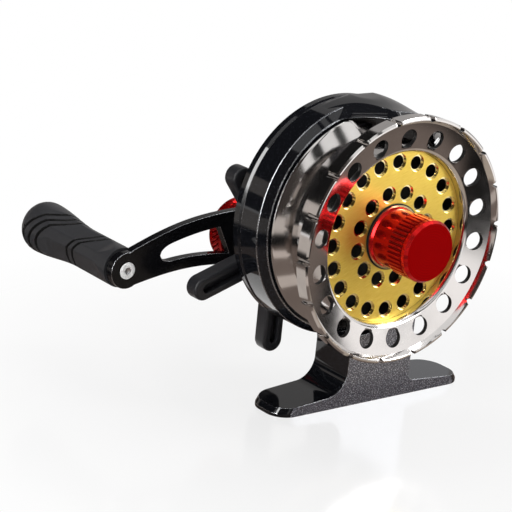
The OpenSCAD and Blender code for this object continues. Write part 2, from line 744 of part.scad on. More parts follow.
// Two dished washers, set mouth to mouth
module spring_washers() color("#9aa0a6") at_handle() {
    inner = drive_r + fit;
    outer = sleeve_r + sleeve_wall / 2;
    lathe([[inner, sleeve_back], [outer, sleeve_back + spring_dish], [outer, sleeve_back + spring_h],
        [inner, sleeve_back + spring_t]]);
    lathe([[inner, springs_back - spring_t], [outer, springs_back - spring_h],
        [outer, springs_back - spring_dish], [inner, springs_back]]);
}

module shaft_spacer() color("#1d1e20") at_handle()
    tube(drive_r + spacer_wall, drive_r + fit, spacer_front, crank_front);

module crank_outline() {
    top = [for (i = [0:crank_steps]) let (t = i / crank_steps)
        [t * crank_r, crank_middle(t) + crank_half(t)]];
    low = [for (i = [crank_steps:-1:0]) let (t = i / crank_steps)
        [t * crank_r, crank_middle(t) - crank_half(t)]];
    polygon(concat(top, low));
}

// The opening: each rail keeps its width, the shaft end slants and the far end is round
module crank_slot() {
    top = [for (i = [0:crank_steps])
        let (t = slot_top_start + (slot_end - slot_top_start) * i / crank_steps)
        [t * crank_r, crank_middle(t) + (crank_half(t) - crank_rail_w) * slot_round(t)]];
    low = [for (i = [crank_steps - 1:-1:0])
        let (t = slot_low_start + (slot_end - slot_low_start) * i / crank_steps)
        [t * crank_r, crank_middle(t) - (crank_half(t) - crank_low_rail_w) * slot_round(t)]];
    polygon(concat(top, low));
}

module crank_arm() color("#17181a") difference() {
    union() {
        at_crank() slab(crank_front, crank_back) crank_outline();
        at_crank() rod(crank_hub_half + crank_boss_over, crank_front, crank_back);
        at_pin() rod(crank_end_half + crank_boss_over, crank_front, crank_back);
    }
    at_crank() slab(crank_front - 1, crank_back + 1) crank_slot();
    at_pin() rod(pin_d / 2 + fit, crank_front - 1, crank_back + 1);
    at_handle() intersection() {
        rod(drive_r + fit, crank_front - 1, crank_back + 1);
        slab(crank_front - 1, crank_back + 1) square([2 * drive_d, flats_w + 2 * fit], center = true);
    }
}

module handle_nut() color("#b3231f") at_handle() difference() {
    nut_r = handle_nut_d / 2;
    plain = handle_nut_h / 5;
    union() {
        lathe([[0, crank_back], [nut_r, crank_back], [nut_r, crank_back + plain],
            [nut_r - 2 * knurl_t, crank_back + plain], [nut_r - 2 * knurl_t, handle_nut_back - plain],
            [nut_r, handle_nut_back - plain], [nut_r, handle_nut_back - plain / 2],
            [nut_r - plain / 2, handle_nut_back], [0, handle_nut_back]]);
        knurl(nut_r, crank_back + plain, handle_nut_back - plain);
    }
    rod(stud_d / 2 + fit, crank_back - 1, handle_nut_back - handle_nut_end_t);
}

// The grip's pin: a rivet head inside the crank, a shoulder outside it and a long journal
module knob_pin() color("#c9ccd0") at_pin() difference() {
    dome = rivet_t / 2;
    lathe([[0, crank_front - rivet_t], [rivet_d / 2 - dome, crank_front - rivet_t],
        [rivet_d / 2, crank_front - dome], [rivet_d / 2, crank_front], [pin_d / 2, crank_front],
        [pin_d / 2, crank_back], [shoulder_d / 2, crank_back],
        [shoulder_d / 2, grip_bearing_front - face_gap],
        [pin_d / 2, grip_bearing_front - face_gap], [pin_d / 2, pin_back], [0, pin_back]]);
    rod(grip_screw_d / 2 + fit, pin_back - grip_screw_l - run_gap, pin_back + 1);
}

module grip_screw() color("#8d9094") at_pin() difference() {
    union() {
        rod(grip_screw_d / 2, pin_back - grip_screw_l, pin_back);
        rod(pin_d / 2 + sleeve_wall / 2, pin_back, pin_back + grip_screw_head_t);
    }
    rod(grip_screw_d / 2, pin_back + grip_screw_head_t / 2, pin_back + 2 * grip_screw_head_t, $fn = 6);
}

module star_outline() {
    circle(star_hub_r);
    for (i = [0:star_n - 1]) rotate(180 + 360 * i / star_n) {
        translate([-star_arm_w / 2, 0]) square([star_arm_w, star_r - star_arm_w / 2]);
        translate([0, star_r - star_arm_w / 2]) circle(star_arm_w / 2);
    }
}

module star_wheel() color("#202124") at_handle() difference() {
    arm_back = star_front + star_t;
    tip = star_t / 3;
    slot_in = star_hub_r + star_arm_w / 2;
    slot_out = star_r - star_arm_w * 0.6;
    union() {
        intersection() {
            slab(star_front, arm_back) star_outline();
            lathe([[0, star_front], [star_r - tip / 2, star_front], [star_r, star_front + tip],
                [star_r, arm_back - 1.8 * tip], [star_r - 3 * tip, arm_back], [0, arm_back]]);
        }
        lathe([[0, star_front], [star_hub_r, star_front], [star_hub_r, arm_back],
            [star_hub_r - star_back_t, star_back], [0, star_back]]);
    }
    for (i = [0:star_n - 1]) rotate([0, 180 + 360 * i / star_n, 0])
        slab(star_front - 1, star_front + star_slot_t) {
            translate([-star_slot_w / 2, slot_in]) square([star_slot_w, slot_out - slot_in]);
            translate([0, slot_in]) circle(star_slot_w / 2);
            translate([0, slot_out]) circle(star_slot_w / 2);
        }
    rod(sleeve_r + sleeve_wall, star_front - 1, max(springs_back, star_front) + face_gap);
    rod(nut_flats_w / 2 / cos(30) + face_gap, star_front - 1, pocket_back, $fn = 6);
    rod(drive_r + 2 * fit, star_front - 1, star_back + 1);
}

module drag_nut() color("#c9a14a") at_handle() difference() {
    rod(nut_flats_w / 2 / cos(30), drag_nut_front, drag_nut_back, $fn = 6);
    rod(drive_r + 2 * fit, drag_nut_front - 1, drag_nut_back + 1);
}

// One flat side of the grip and its mirror image, in [half width, y], past both ends
function grip_sides(inset) =
    let (places = [for (i = [0:grip_steps]) grip_l * i / grip_steps],
        side = [for (s = places) [grip_half(s) - inset, grip_front + s]],
        ends = concat([[side[0][0], grip_front - 1]], side, [[side[grip_steps][0], grip_back + 1]]))
    concat(ends, [for (i = [len(ends) - 1:-1:0]) [-ends[i][0], ends[i][1]]]);

// A round bar that swells towards its rounded end, with four flats on the fat part
module grip_body(inset) {
    body_l = grip_l - grip_dome;
    end_r = grip_r(body_l) - inset;
    flat_r = grip_bearing_d / 2 + grip_core_wall;
    span = 4 * grip_r(grip_l);
    round_side = concat(
        [for (i = [0:grip_steps]) let (s = inset + (body_l - inset) * i / grip_steps)
            [grip_r(s) - inset, grip_front + s]],
        [for (i = [1:grip_steps]) let (a = 90 * i / grip_steps)
            [flat_r + (end_r - flat_r) * cos(a), grip_front + body_l + (grip_dome - inset) * sin(a)]]);
    intersection() {
        translate([0, 0, -span / 2]) linear_extrude(span) polygon(grip_sides(inset));
        rotate([0, 90, 0]) translate([0, 0, -span / 2]) linear_extrude(span) polygon(grip_sides(inset));
        lathe(concat([[0, grip_front + inset]], round_side, [[0, grip_back - inset]]));
    }
}

module grip() color("#161617") at_pin() difference() {
    union() {
        rotate([0, grip_turn, 0]) grip_body(grip_groove_t);
        difference() {
            rotate([0, grip_turn, 0]) grip_body(0);
            for (s = groove_places) translate([0, grip_front + s, 0]) rotate([0, grip_groove_turn, 0])
                rotate([grip_groove_slant, 0, 0])
                    rod(3 * grip_r(grip_l), -grip_groove_w / 2, grip_groove_w / 2);
        }
    }
    rod(shoulder_d / 2 + run_gap, grip_front - 1, grip_bearing_front);
    rod(grip_bearing_d / 2 + fit, grip_bearing_front, grip_bearing_front + grip_bearing_w);
    rod(pin_d / 2 + run_gap, grip_front, grip_back);
    rod(grip_bearing_d / 2 + fit, far_bearing_front, grip_back + 1);
}

module grip_bearings() color("#c4c7ca") at_pin() for (front = [grip_bearing_front, far_bearing_front])
    bearing(grip_bearing_d / 2, pin_d / 2 + fit, front, front + grip_bearing_w);

module grip_cap() color("#202022") at_pin()
    lathe([[0, grip_cap_front], [grip_bearing_d / 2, grip_cap_front],
        [grip_bearing_d / 2, grip_back - grip_cap_t / 4], [grip_bearing_d / 2 - grip_cap_t / 2, grip_back],
        [0, grip_back]]);

frame();
rear_cover();
cover_screws();
spool_bearing_front();
spool_bearing_rear();
shaft_bearing();
one_way_bearing();
spool();
face_plate();
spool_shaft();
pinion_gear();
shaft_clip();
knob_washer();
spool_knob();
drive_shaft();
drive_gear();
drag_washers();
pressure_plate();
clutch_sleeve();
spring_washers();
shaft_spacer();
crank_arm();
handle_nut();
knob_pin();
grip_screw();
star_wheel();
drag_nut();
grip();
grip_bearings();
grip_cap();
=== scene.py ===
"""A geared fly reel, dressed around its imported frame: modelled pieces, finishes, studio and camera."""
import math

import bpy
from mathutils import Matrix, Vector


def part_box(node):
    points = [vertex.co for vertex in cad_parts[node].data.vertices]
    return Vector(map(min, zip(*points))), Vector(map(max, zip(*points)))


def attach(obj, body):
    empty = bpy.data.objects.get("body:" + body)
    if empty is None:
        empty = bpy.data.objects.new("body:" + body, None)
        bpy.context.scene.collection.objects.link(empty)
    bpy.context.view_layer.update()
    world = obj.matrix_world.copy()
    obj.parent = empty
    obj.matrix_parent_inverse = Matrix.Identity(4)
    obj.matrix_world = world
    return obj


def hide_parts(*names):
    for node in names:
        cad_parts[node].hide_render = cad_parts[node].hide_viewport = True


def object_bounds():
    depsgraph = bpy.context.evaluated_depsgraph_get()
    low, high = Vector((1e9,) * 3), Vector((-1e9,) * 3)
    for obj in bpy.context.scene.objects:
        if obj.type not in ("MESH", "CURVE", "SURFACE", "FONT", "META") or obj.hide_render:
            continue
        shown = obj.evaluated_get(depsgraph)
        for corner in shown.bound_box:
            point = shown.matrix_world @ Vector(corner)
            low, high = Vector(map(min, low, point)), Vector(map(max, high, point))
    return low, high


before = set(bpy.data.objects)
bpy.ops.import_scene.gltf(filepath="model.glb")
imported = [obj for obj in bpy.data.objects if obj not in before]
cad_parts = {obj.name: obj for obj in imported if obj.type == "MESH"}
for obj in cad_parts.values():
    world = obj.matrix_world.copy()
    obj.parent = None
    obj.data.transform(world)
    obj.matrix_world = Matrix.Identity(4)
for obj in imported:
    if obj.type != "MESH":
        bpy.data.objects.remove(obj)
cad_low, cad_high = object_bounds()

MM = 0.001
WELD = 0.002 * MM
LATHE_STEPS = 240
HOLE_SIDES = 64
CARD_SIDES = 96

# Sizes in millimetres, close to those in the part's source

# Spool
rim_front = 2.2
flange_r = 33.0
flange_t = 1.8
dish = 0.7
rim_in_r = 31.2
rim_back = 0.5
mouth_r = 24.55
recess_r = 23.15
plate_front = 3.5
plate_back = 4.5
ledge_r = 21.9
drum_r = 25.2
groove_back = 13.7
rear_r = 29.5
spool_back = 16.8
back_wall_t = 2.0
hub_r = 6.0
spool_bore_r = 2.53
vent_count = 18
vent_r = 2.5
vent_circle_r = 27.2
vent_turn = -2.9
notch_r = 0.9
notch_circle_r = 32.6
flange_wall = 1.25
rim_slope = 0.7
rim_bevel = 0.25
rim_round = 0.45
rear_round = (0.4, 0.75)
rear_edge = 0.25
rear_wall = 1.1
vent_front = -2.0
vent_over = 0.25
spool_edge = 0.14

# Face plate
plate_r = 23.1
plate_hole_r = 2.3
plate_step_r = 1.75
plate_step = 0.55
plate_gap = 0.05
plate_edge = 0.22
outer_row = (20, 20.0, -1.5)
inner_row = (12, 11.75, 16.3)

# Spool knob and its washer
knob_r = 8.25
knob_face_r = 7.6
knob_neck_r = 7.8
knob_back = 2.8
knob_h = 13.8
knob_bevel = 0.9
knob_cap = 1.9
knob_knurl_start = 2.3
knob_knurl_end = 7.4
knob_bore_front = -7.5
knurl_count = 40
knurl_t = 0.55
knurl_gap = 0.2
knurl_slope = 0.25
knob_step = 0.12
knob_flare = 0.6
washer_bevel = 0.32

# Frame
wall_front = 17.4
wall_back = 20.4
cover_front = 26.8
ring_r = 32.0
ring_front_r = 30.15
ring_bevel = 2.2
ring_back_bevel = (0.4, 0.3)
ring_edge = 0.22
chamber_r = 29.0
bearing_seat_r = 5.03
hood_in_r = 30.2
hood_r = 33.6
hood_rise = 14.0
hood_fall = 1.5
hood_tip = 6.5
hood_lip_r = 32.0
hood_lip = 8.35
hood_back = 26.1
hood_angle = math.radians(17.5)
hood_half = math.radians(40)
hood_peak = math.radians(12)
hood_spread = math.radians(34)
hood_steps = 160
hood_rings = 10
hood_flank = (-17.15, 16.15, 24.86)
hood_flank_normal = (-0.705, -0.321, 0.633)
hood_groove_run = (0.62, -0.72, 0.32)
hood_groove_heights = (0.95, 2.0)
hood_groove_middle = 5.8
hood_groove_l = 9.2
hood_groove_r = 0.32
hood_edge = 0.2
hood_inset = 0.05
hood_margin = 0.5
cover_back = 30.4
cover_front_bevel = (0.5, 0.85)
cover_bevel = 0.9
cover_grooves = ((24.4, 23.4, 0.3, 0.35), (22.4, 21.7, 0.2, 0.25))
cover_edge = 0.12
boss_r = 8.59
boss_back = 32.5
boss_bore_r = 4.78
boss_bevel = 0.5
screw_count = 4
screw_circle_r = 27.0
screw_sink_r = 2.2
screw_sink = 0.4
stem_top_r = 30.43
stem_left = -10.9
stem_right = 11.7
foot_half = 33.4
foot_end_t = 2.2
foot_mid_t = 4.0
foot_front = 12.0
foot_back = 26.0
foot_corner_r = 5.5
foot_edge_t = 0.9
foot_roll = 2.2
foot_edge = 0.35
foot_scrap = 0.12
plan_top = 40
left_fillet_r = 6.5
right_fillet_r = 2.0
ring_fillet_r = 4.0

# Star wheel
star_front = 33.4
star_arm_back = 38.0
star_back = 40.0
star_r = 29.3
star_arm_half = 3.2
star_hub_r = 9.5
star_slot_half = 1.25
star_slot_t = 2.0
star_count = 5
star_arm_in = 4
star_bore_r = 3.06
star_hub_bevel = 2
star_edge = 0.8
star_slot_edge = 0.15
star_hub_edge = 0.3
drag_nut_r = 5.9

# Crank and its nut
crank_front = 46.4
crank_back = 48.9
crank_r = 41.3
crank_slope = math.radians(6.8)
crank_hub_half = 8.3
crank_end_half = 4.7
crank_boss_over = 0.3
crank_bow = 2.4
crank_rail = 3.8
crank_low_rail = 3.2
crank_side_start = 0.06
crank_side_end = 0.95
crank_end_turn = 106
crank_hub_turn = -74
crank_bore_r = 3.03
crank_edge = 0.3
slot_top_start = 0.27
slot_low_start = 0.2
slot_round_start = 0.66
slot_end = 0.745
nut_r = 9.2
nut_back = 54.9
nut_groove = (6.6, 5.6, 0.25, 0.3)
nut_plain = 1.2
nut_step = 0.5
nut_bevel = 0.6
nut_twist = 0.012
stud_r = 2.23
pin_hole_r = 2.03
pin_r = 2.0
rivet_r = 2.3
rivet_t = 0.3
rivet_round = ((0.3, 0), (0.08, 0.08), (0, 0.2))
dimple_r = 0.95
dimple_middle = 0.06
dimple_floor = 0.09
shoulder_r = 2.8
pin_screw_r = 1.03
pin_screw_l = 6.3

# Grip
grip_front = 49.3
grip_l = 41.5
grip_neck_r = 5.45
grip_swell = 1.8
grip_swell_at = 17.0
grip_swell_l = 21.0
grip_flat = 0.86
grip_corner = math.radians(68)
facet_start = 1
facet_rise = 5
facet_end = 34
facet_fall = 8
grip_dome = 4.0
grip_bore_r = 3.53
grip_rings = 300
grip_sides = 160
dome_rings = 10
groove_places = (11.6, 14.2, 25.7, 28.6, 31.7)
groove_t = 0.6
groove_w = 0.62
groove_slant = 1.0
groove_turn = math.radians(-60)
# Share of a groove's depth past which its faces get a dark matte finish, as painted shade
groove_shade_depth = 0.3

# How far a cutter reaches past what it cuts
over = 1


def centre(node):
    """The middle of a CAD node."""
    low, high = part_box(node)
    return (low + high) / 2


spool_axis = centre("spool_shaft")
crank_axis = centre("pressure_plate")
pin_axis = centre("knob_pin")
flange_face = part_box("spool")[0].y + rim_front * MM


def place(axis, x, depth, z):
    """A point in metres, from millimetres about an axis and behind the flange face."""
    return Vector((axis.x + x * MM, flange_face + depth * MM, axis.z + z * MM))


def polar(radius, degrees):
    """The x and z of a point around Y, from straight up towards +X."""
    angle = math.radians(degrees)
    return radius * math.sin(angle), radius * math.cos(angle)


def arc(x, z, radius, start, end, steps=12):
    """Points on an arc about (x, z), with angles in degrees from +x towards +z."""
    turns = [math.radians(start + (end - start) * i / steps) for i in range(steps + 1)]
    return [(x + radius * math.cos(a), z + radius * math.sin(a)) for a in turns]


def end_groove(outer, inner, slope, depth, back):
    """Profile points of a ring groove in the back end of a turned piece."""
    floor = back - depth
    return [(outer, back), (outer - slope, floor), (inner + slope, floor), (inner, back)]


def ease(t):
    """A soft step from 0 to 1."""
    t = min(1, max(0, t))
    return t * t * (3 - 2 * t)


def turned_place(axis, point):
    """A point's distance from an axis along Y and its depth behind the flange face, in millimetres."""
    return math.hypot(point.x - axis.x, point.z - axis.z) / MM, (point.y - flange_face) / MM


# Modelling steps

def pick(piece):
    bpy.ops.object.select_all(action="DESELECT")
    piece.select_set(True)
    bpy.context.view_layer.objects.active = piece


def edit(piece):
    pick(piece)
    bpy.ops.object.mode_set(mode="EDIT")
    bpy.ops.mesh.select_all(action="SELECT")


def leave():
    bpy.ops.object.mode_set(mode="OBJECT")


def named(name):
    """The object that was just added, under its name."""
    piece = bpy.context.object
    piece.name = name
    return piece


def loop(name, points):
    """A closed loop of edges through points in metres."""
    bpy.ops.mesh.primitive_circle_add(vertices=len(points), radius=MM, fill_type="NOTHING")
    piece = named(name)
    for vertex, point in zip(piece.data.vertices, points):
        vertex.co = point
    return piece


def face_outwards():
    bpy.ops.mesh.select_all(action="SELECT")
    bpy.ops.mesh.remove_doubles(threshold=WELD)
    bpy.ops.mesh.delete_loose()
    bpy.ops.mesh.select_all(action="SELECT")
    bpy.ops.mesh.normals_make_consistent(inside=False)


def lathe(name, profile, axis, steps=LATHE_STEPS):
    """A turned piece about an axis along Y, from a closed profile of (radius, depth) points."""
    piece = loop(name, [place(axis, 0, depth, radius) for radius, depth in profile])
    edit(piece)
    bpy.ops.mesh.spin(steps=steps, angle=math.tau, center=(axis.x, 0, axis.z), axis=(0, 1, 0))
    face_outwards()
    leave()
    return piece


def plate(name, outline, axis, front, back):
    """A flat piece with an outline of (x, z) points about an axis, between two depths."""
    piece = loop(name, [place(axis, x, front, z) for x, z in outline])
    edit(piece)
    bpy.ops.mesh.edge_face_add()
    thick = Vector((0, (back - front) * MM, 0))
    bpy.ops.mesh.extrude_region_move(TRANSFORM_OT_translate={"value": thick})
    face_outwards()
    leave()
    return piece


def rod(name, axis, x, z, radius, front, back, sides=HOLE_SIDES):
    """A round bar along Y, to drill with."""
    bpy.ops.mesh.primitive_cylinder_add(
        vertices=sides, radius=radius * MM, depth=(back - front) * MM,
        location=place(axis, x, (front + back) / 2, z), rotation=(math.pi / 2, 0, 0))
    piece = named(name)
    bpy.ops.object.transform_apply(location=True, rotation=True, scale=True)
    return piece


def join(pieces):
    bpy.ops.object.select_all(action="DESELECT")
    for piece in pieces:
        piece.select_set(True)
    bpy.context.view_layer.objects.active = pieces[0]
    bpy.ops.object.join()
    return pieces[0]


def apply(piece, modifier):
    pick(piece)
    bpy.ops.object.modifier_apply(modifier=modifier.name)


def combine(piece, other, operation):
    """Cuts another mesh from a piece, or unites it with the piece, and takes the other away."""
    step = piece.modifiers.new("Combine", "BOOLEAN")
    step.operation = operation
    step.solver = "EXACT"
    step.object = other
    apply(piece, step)
    bpy.data.objects.remove(other)


def cut(piece, tool):
    combine(piece, tool, "DIFFERENCE")


def round_edges(piece, width, segments=3, angle=30, finish=-1):
    """Rounds sharp edges; finish is the slot of the rounding's own finish, or -1 for that of its faces."""
    step = piece.modifiers.new("Edges", "BEVEL")
    step.width = width * MM
    step.segments = segments
    step.limit_method = "ANGLE"
    step.angle_limit = math.radians(angle)
    step.miter_outer = "MITER_ARC"
    step.material = finish
    apply(piece, step)


def sheen_edges(piece, width, paint, edge, segments=3, angle=30):
    """Rounds the edges of a painted piece and gives the rounding a lighter metallic finish, a painted
    highlight along the edges.
    """
    piece.data.materials.clear()
    piece.data.materials.append(paint)
    piece.data.materials.append(edge)
    round_edges(piece, width, segments, angle, 1)


def smooth(piece, angle=40):
    """Smooth shading that keeps flat faces flat."""
    pick(piece)
    bpy.ops.object.shade_smooth_by_angle(angle=math.radians(angle))
    step = piece.modifiers.new("Normals", "WEIGHTED_NORMAL")
    step.keep_sharp = True
    apply(piece, step)


def clean(piece, scrap=0.01):
    """Merges the small scraps that a cut leaves and joins faces that lie flat together."""
    edit(piece)
    bpy.ops.mesh.remove_doubles(threshold=scrap * MM)
    bpy.ops.mesh.dissolve_limited(angle_limit=math.radians(0.5))
    leave()


def turned_copies(piece, count, axis):
    """The piece and its copies, evenly turned about an axis along Y."""
    made = [piece]
    for number in range(1, count):
        copy = piece.copy()
        copy.data = piece.data.copy()
        bpy.context.collection.objects.link(copy)
        hub = Matrix.Translation((axis.x, 0, axis.z))
        turn = Matrix.Rotation(math.tau * number / count, 4, "Y")
        copy.data.transform(hub @ turn @ hub.inverted())
        made.append(copy)
    return made


def cut_ring(piece, axis, count, circle_r, turn, radius, front, back):
    """Drills a ring of holes along Y."""
    x, z = polar(circle_r, turn)
    drills = turned_copies(rod("drill", axis, x, z, radius, front, back), count, axis)
    cut(piece, join(drills))


def paint_faces(piece, material, chosen):
    """Gives a finish of their own to the faces that a rule picks."""
    piece.data.materials.append(material)
    last = len(piece.data.materials) - 1
    for face in piece.data.polygons:
        if chosen(face):
            face.material_index = last


def dress(piece, body, material, slot, *nodes):
    """Gives a piece its finish, unless it has it already, and its place in the assembly."""
    if material.name not in piece.data.materials:
        piece.data.materials.clear()
        piece.data.materials.append(material)
    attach(piece, body)
    if nodes:
        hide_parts(*nodes)


# Finishes

def start_finish(name, colour, metallic, roughness):
    material = bpy.data.materials.new(name)
    material.use_nodes = True
    tree = material.node_tree
    shader = tree.nodes["Principled BSDF"]
    shader.inputs["Base Color"].default_value = (*colour, 1)
    shader.inputs["Metallic"].default_value = metallic
    shader.inputs["Roughness"].default_value = roughness
    return material, tree, shader


def spot(tree, origin=(0, 0, 0), scale=(1, 1, 1), turn=(0, 0, 0)):
    """Object coordinates, moved so that a pattern is centred on a point of the reel."""
    source = tree.nodes.new("ShaderNodeTexCoord")
    shift = tree.nodes.new("ShaderNodeMapping")
    shift.vector_type = "TEXTURE"
    shift.inputs["Location"].default_value = origin
    shift.inputs["Rotation"].default_value = turn
    shift.inputs["Scale"].default_value = scale
    tree.links.new(source.outputs["Object"], shift.inputs["Vector"])
    return shift.outputs["Vector"]


def grain(tree, where, size, detail=2.0):
    """Noise with features of about a size in millimetres."""
    noise = tree.nodes.new("ShaderNodeTexNoise")
    noise.inputs["Scale"].default_value = 1 / (size * MM)
    noise.inputs["Detail"].default_value = detail
    tree.links.new(where, noise.inputs["Vector"])
    return noise.outputs["Fac"]


def spread(tree, value, low, high, start=0.3, end=0.7):
    """Maps a pattern's range onto two numbers."""
    step = tree.nodes.new("ShaderNodeMapRange")
    step.inputs["From Min"].default_value = start
    step.inputs["From Max"].default_value = end
    step.inputs["To Min"].default_value = low
    step.inputs["To Max"].default_value = high
    tree.links.new(value, step.inputs["Value"])
    return step.outputs["Result"]


def shades(tree, value, *stops):
    """Colours along a pattern, from (place, colour) stops."""
    ramp = tree.nodes.new("ShaderNodeValToRGB")
    elements = ramp.color_ramp.elements
    while len(elements) < len(stops):
        elements.new(0.5)
    while len(elements) > len(stops):
        elements.remove(elements[-1])
    for element, (where, colour) in zip(elements, stops):
        element.position = where
        element.color = (*colour, 1)
    tree.links.new(value, ramp.inputs["Fac"])
    return ramp.outputs["Color"]


def tint(tree, shader, value, *stops):
    tree.links.new(shades(tree, value, *stops), shader.inputs["Base Color"])


def roughen(tree, shader, value, *span):
    tree.links.new(spread(tree, value, *span), shader.inputs["Roughness"])


def relief(tree, shader, height, strength, depth):
    """Bump of a depth in millimetres."""
    bump = tree.nodes.new("ShaderNodeBump")
    bump.inputs["Strength"].default_value = strength
    bump.inputs["Distance"].default_value = depth * MM
    tree.links.new(height, bump.inputs["Height"])
    tree.links.new(bump.outputs["Normal"], shader.inputs["Normal"])


def grained(name, colour, metallic, roughness, size, low, high, top=0.7, detail=3.0, rough=None,
            specular=0.5, bump=None):
    """A finish whose tone, roughness and relief follow one fine noise of a size in millimetres."""
    material, tree, shader = start_finish(name, colour, metallic, roughness)
    fine = grain(tree, spot(tree), size, detail)
    tint(tree, shader, fine, (0.3, low), (top, high))
    shader.inputs["Specular IOR Level"].default_value = specular
    if rough:
        roughen(tree, shader, fine, *rough)
    if bump:
        relief(tree, shader, fine, *bump)
    return material


def mirror_nickel():
    material, tree, shader = start_finish("mirror_nickel", (0.66, 0.635, 0.62), 1.0, 0.1)
    where = spot(tree)
    polish = grain(tree, where, 6.0, 4.0)
    roughen(tree, shader, polish, 0.08, 0.12)
    tint(tree, shader, polish, (0.3, (0.62, 0.595, 0.58)), (0.7, (0.7, 0.675, 0.66)))
    relief(tree, shader, grain(tree, where, 9.0, 1.0), 0.02, 0.02)
    return material


def brushed_gold():
    material, tree, shader = start_finish("brushed_gold", (0.88, 0.62, 0.11), 0.85, 0.34)
    streaks = grain(tree, spot(tree, scale=(30, 1, 1), turn=(0, math.radians(-20), 0)), 0.1, 3.0)
    tint(tree, shader, streaks, (0.3, (0.8, 0.54, 0.07)), (0.7, (0.96, 0.71, 0.15)))
    roughen(tree, shader, streaks, 0.28, 0.4)
    relief(tree, shader, streaks, 0.06, 0.02)
    return material


def red_anodised():
    material, tree, shader = start_finish("red_anodised", (0.58, 0.008, 0.008), 0.85, 0.2)
    where = spot(tree)
    tint(tree, shader, grain(tree, where, 0.5), (0.3, (0.52, 0.005, 0.006)), (0.7, (0.64, 0.011, 0.01)))
    roughen(tree, shader, grain(tree, where, 3.0), 0.15, 0.23)
    return material


def red_turned():
    """The knob's faced end, with fine rings from the lathe."""
    material, tree, shader = start_finish("red_turned", (0.21, 0.0004, 0.0008), 0.2, 0.5)
    rings = tree.nodes.new("ShaderNodeTexWave")
    rings.wave_type = "RINGS"
    rings.rings_direction = "Y"
    rings.inputs["Scale"].default_value = 1 / (2.2 * MM)
    rings.inputs["Distortion"].default_value = 0.4
    tree.links.new(spot(tree, origin=spool_axis), rings.inputs["Vector"])
    tint(tree, shader, rings.outputs["Fac"], (0.0, (0.19, 0.0003, 0.0006)), (1.0, (0.23, 0.0006, 0.001)))
    roughen(tree, shader, rings.outputs["Fac"], 0.46, 0.54, 0.0, 1.0)
    shader.inputs["Specular IOR Level"].default_value = 0.0
    return material


# Speckled paint far lighter than the gloss black: the paint's flecks, and painted light for the foot's
# faces that face the front
def speckled_lit_paint():
    material, tree, shader = start_finish("speckled_lit_paint", (0.12, 0.125, 0.145), 1.0, 0.46)
    where = spot(tree)
    lit_speckle = grain(tree, where, 0.32, 1.0)
    tint(tree, shader, lit_speckle, (0.34, (0.085, 0.092, 0.115)), (0.56, (0.19, 0.2, 0.24)),
         (0.7, (0.72, 0.75, 0.84)))
    roughen(tree, shader, lit_speckle, 0.5, 0.38)
    shader.inputs["Coat Weight"].default_value = 0.8
    shader.inputs["Coat Roughness"].default_value = 0.05
    relief(tree, shader, grain(tree, where, 1.2), 0.03, 0.03)
    return material


def gloss_black():
    material, tree, shader = start_finish("gloss_black", (0.004, 0.0043, 0.0055), 0.0, 0.08)
    where = spot(tree)
    peel = grain(tree, where, 1.5, 2.0)
    tint(tree, shader, grain(tree, where, 0.3, 1.0), (0.7, (0.004, 0.0043, 0.0055)),
         (0.8, (0.04, 0.043, 0.052)))
    roughen(tree, shader, peel, 0.04, 0.08)
    relief(tree, shader, peel, 0.02, 0.02)
    return material


def woven_carbon():
    material, tree, shader = start_finish("woven_carbon", (0.05, 0.05, 0.05), 0.0, 0.5)
    checks = tree.nodes.new("ShaderNodeTexChecker")
    checks.inputs["Scale"].default_value = 1 / (1.2 * MM)
    checks.inputs["Color1"].default_value = (0.03, 0.03, 0.03, 1)
    checks.inputs["Color2"].default_value = (0.11, 0.11, 0.11, 1)
    tree.links.new(spot(tree), checks.inputs["Vector"])
    tree.links.new(checks.outputs["Color"], shader.inputs["Base Color"])
    roughen(tree, shader, checks.outputs["Fac"], 0.4, 0.6, 0.0, 1.0)
    return material


nickel = mirror_nickel()
# Dark finish for the inside of the spool and the walls of its vents, painted shade
bore = grained("painted_shade_inside", (0.012, 0.012, 0.012), 0.3, 0.45, 0.5,
               (0.007, 0.007, 0.007), (0.02, 0.019, 0.018), rough=(0.4, 0.55))
gold = brushed_gold()
cut_gold = grained("polished_gold", (0.95, 0.8, 0.42), 1.0, 0.12, 0.3,
                   (0.88, 0.72, 0.34), (0.98, 0.86, 0.5), rough=(0.08, 0.18))
red = red_anodised()
# Darker red for the faces in the knurls' gaps, painted shade
shaded_gap_red = grained("red_gap_shade", (0.2, 0.0025, 0.003), 0.6, 0.4, 0.3,
                  (0.16, 0.002, 0.0025), (0.24, 0.003, 0.0035), rough=(0.34, 0.46))
face_red = red_turned()
lit_speckle = speckled_lit_paint()
# A lighter metallic finish for rounded edges, a painted highlight along them
edge_sheen = grained("edge_sheen_paint", (0.36, 0.37, 0.39), 1.0, 0.24, 0.6,
               (0.27, 0.28, 0.3), (0.45, 0.46, 0.48), rough=(0.18, 0.3))
rivet = grained("bright_rivet", (0.84, 0.84, 0.83), 0.25, 0.4, 0.25,
                (0.76, 0.76, 0.75), (0.92, 0.92, 0.91), rough=(0.34, 0.5), bump=(0.1, 0.03))
gloss = gloss_black()
crank_paint = grained("crank_black", (0.003, 0.003, 0.0037), 0.0, 0.22, 0.3,
                      (0.002, 0.002, 0.0025), (0.005, 0.005, 0.006), top=0.8, rough=(0.16, 0.24),
                      specular=0.2, bump=(0.03, 0.02))
satin = grained("satin_black", (0.014, 0.014, 0.016), 0.0, 0.36, 0.18,
                (0.01, 0.01, 0.0115), (0.02, 0.02, 0.023), top=0.75, rough=(0.3, 0.42),
                specular=0.4, bump=(0.1, 0.03))
grip_plastic = grained("grip_matte", (0.024, 0.024, 0.026), 0.0, 0.42, 0.25,
                       (0.018, 0.018, 0.0195), (0.03, 0.03, 0.033), top=0.75, rough=(0.36, 0.48),
                       specular=0.35, bump=(0.12, 0.04))
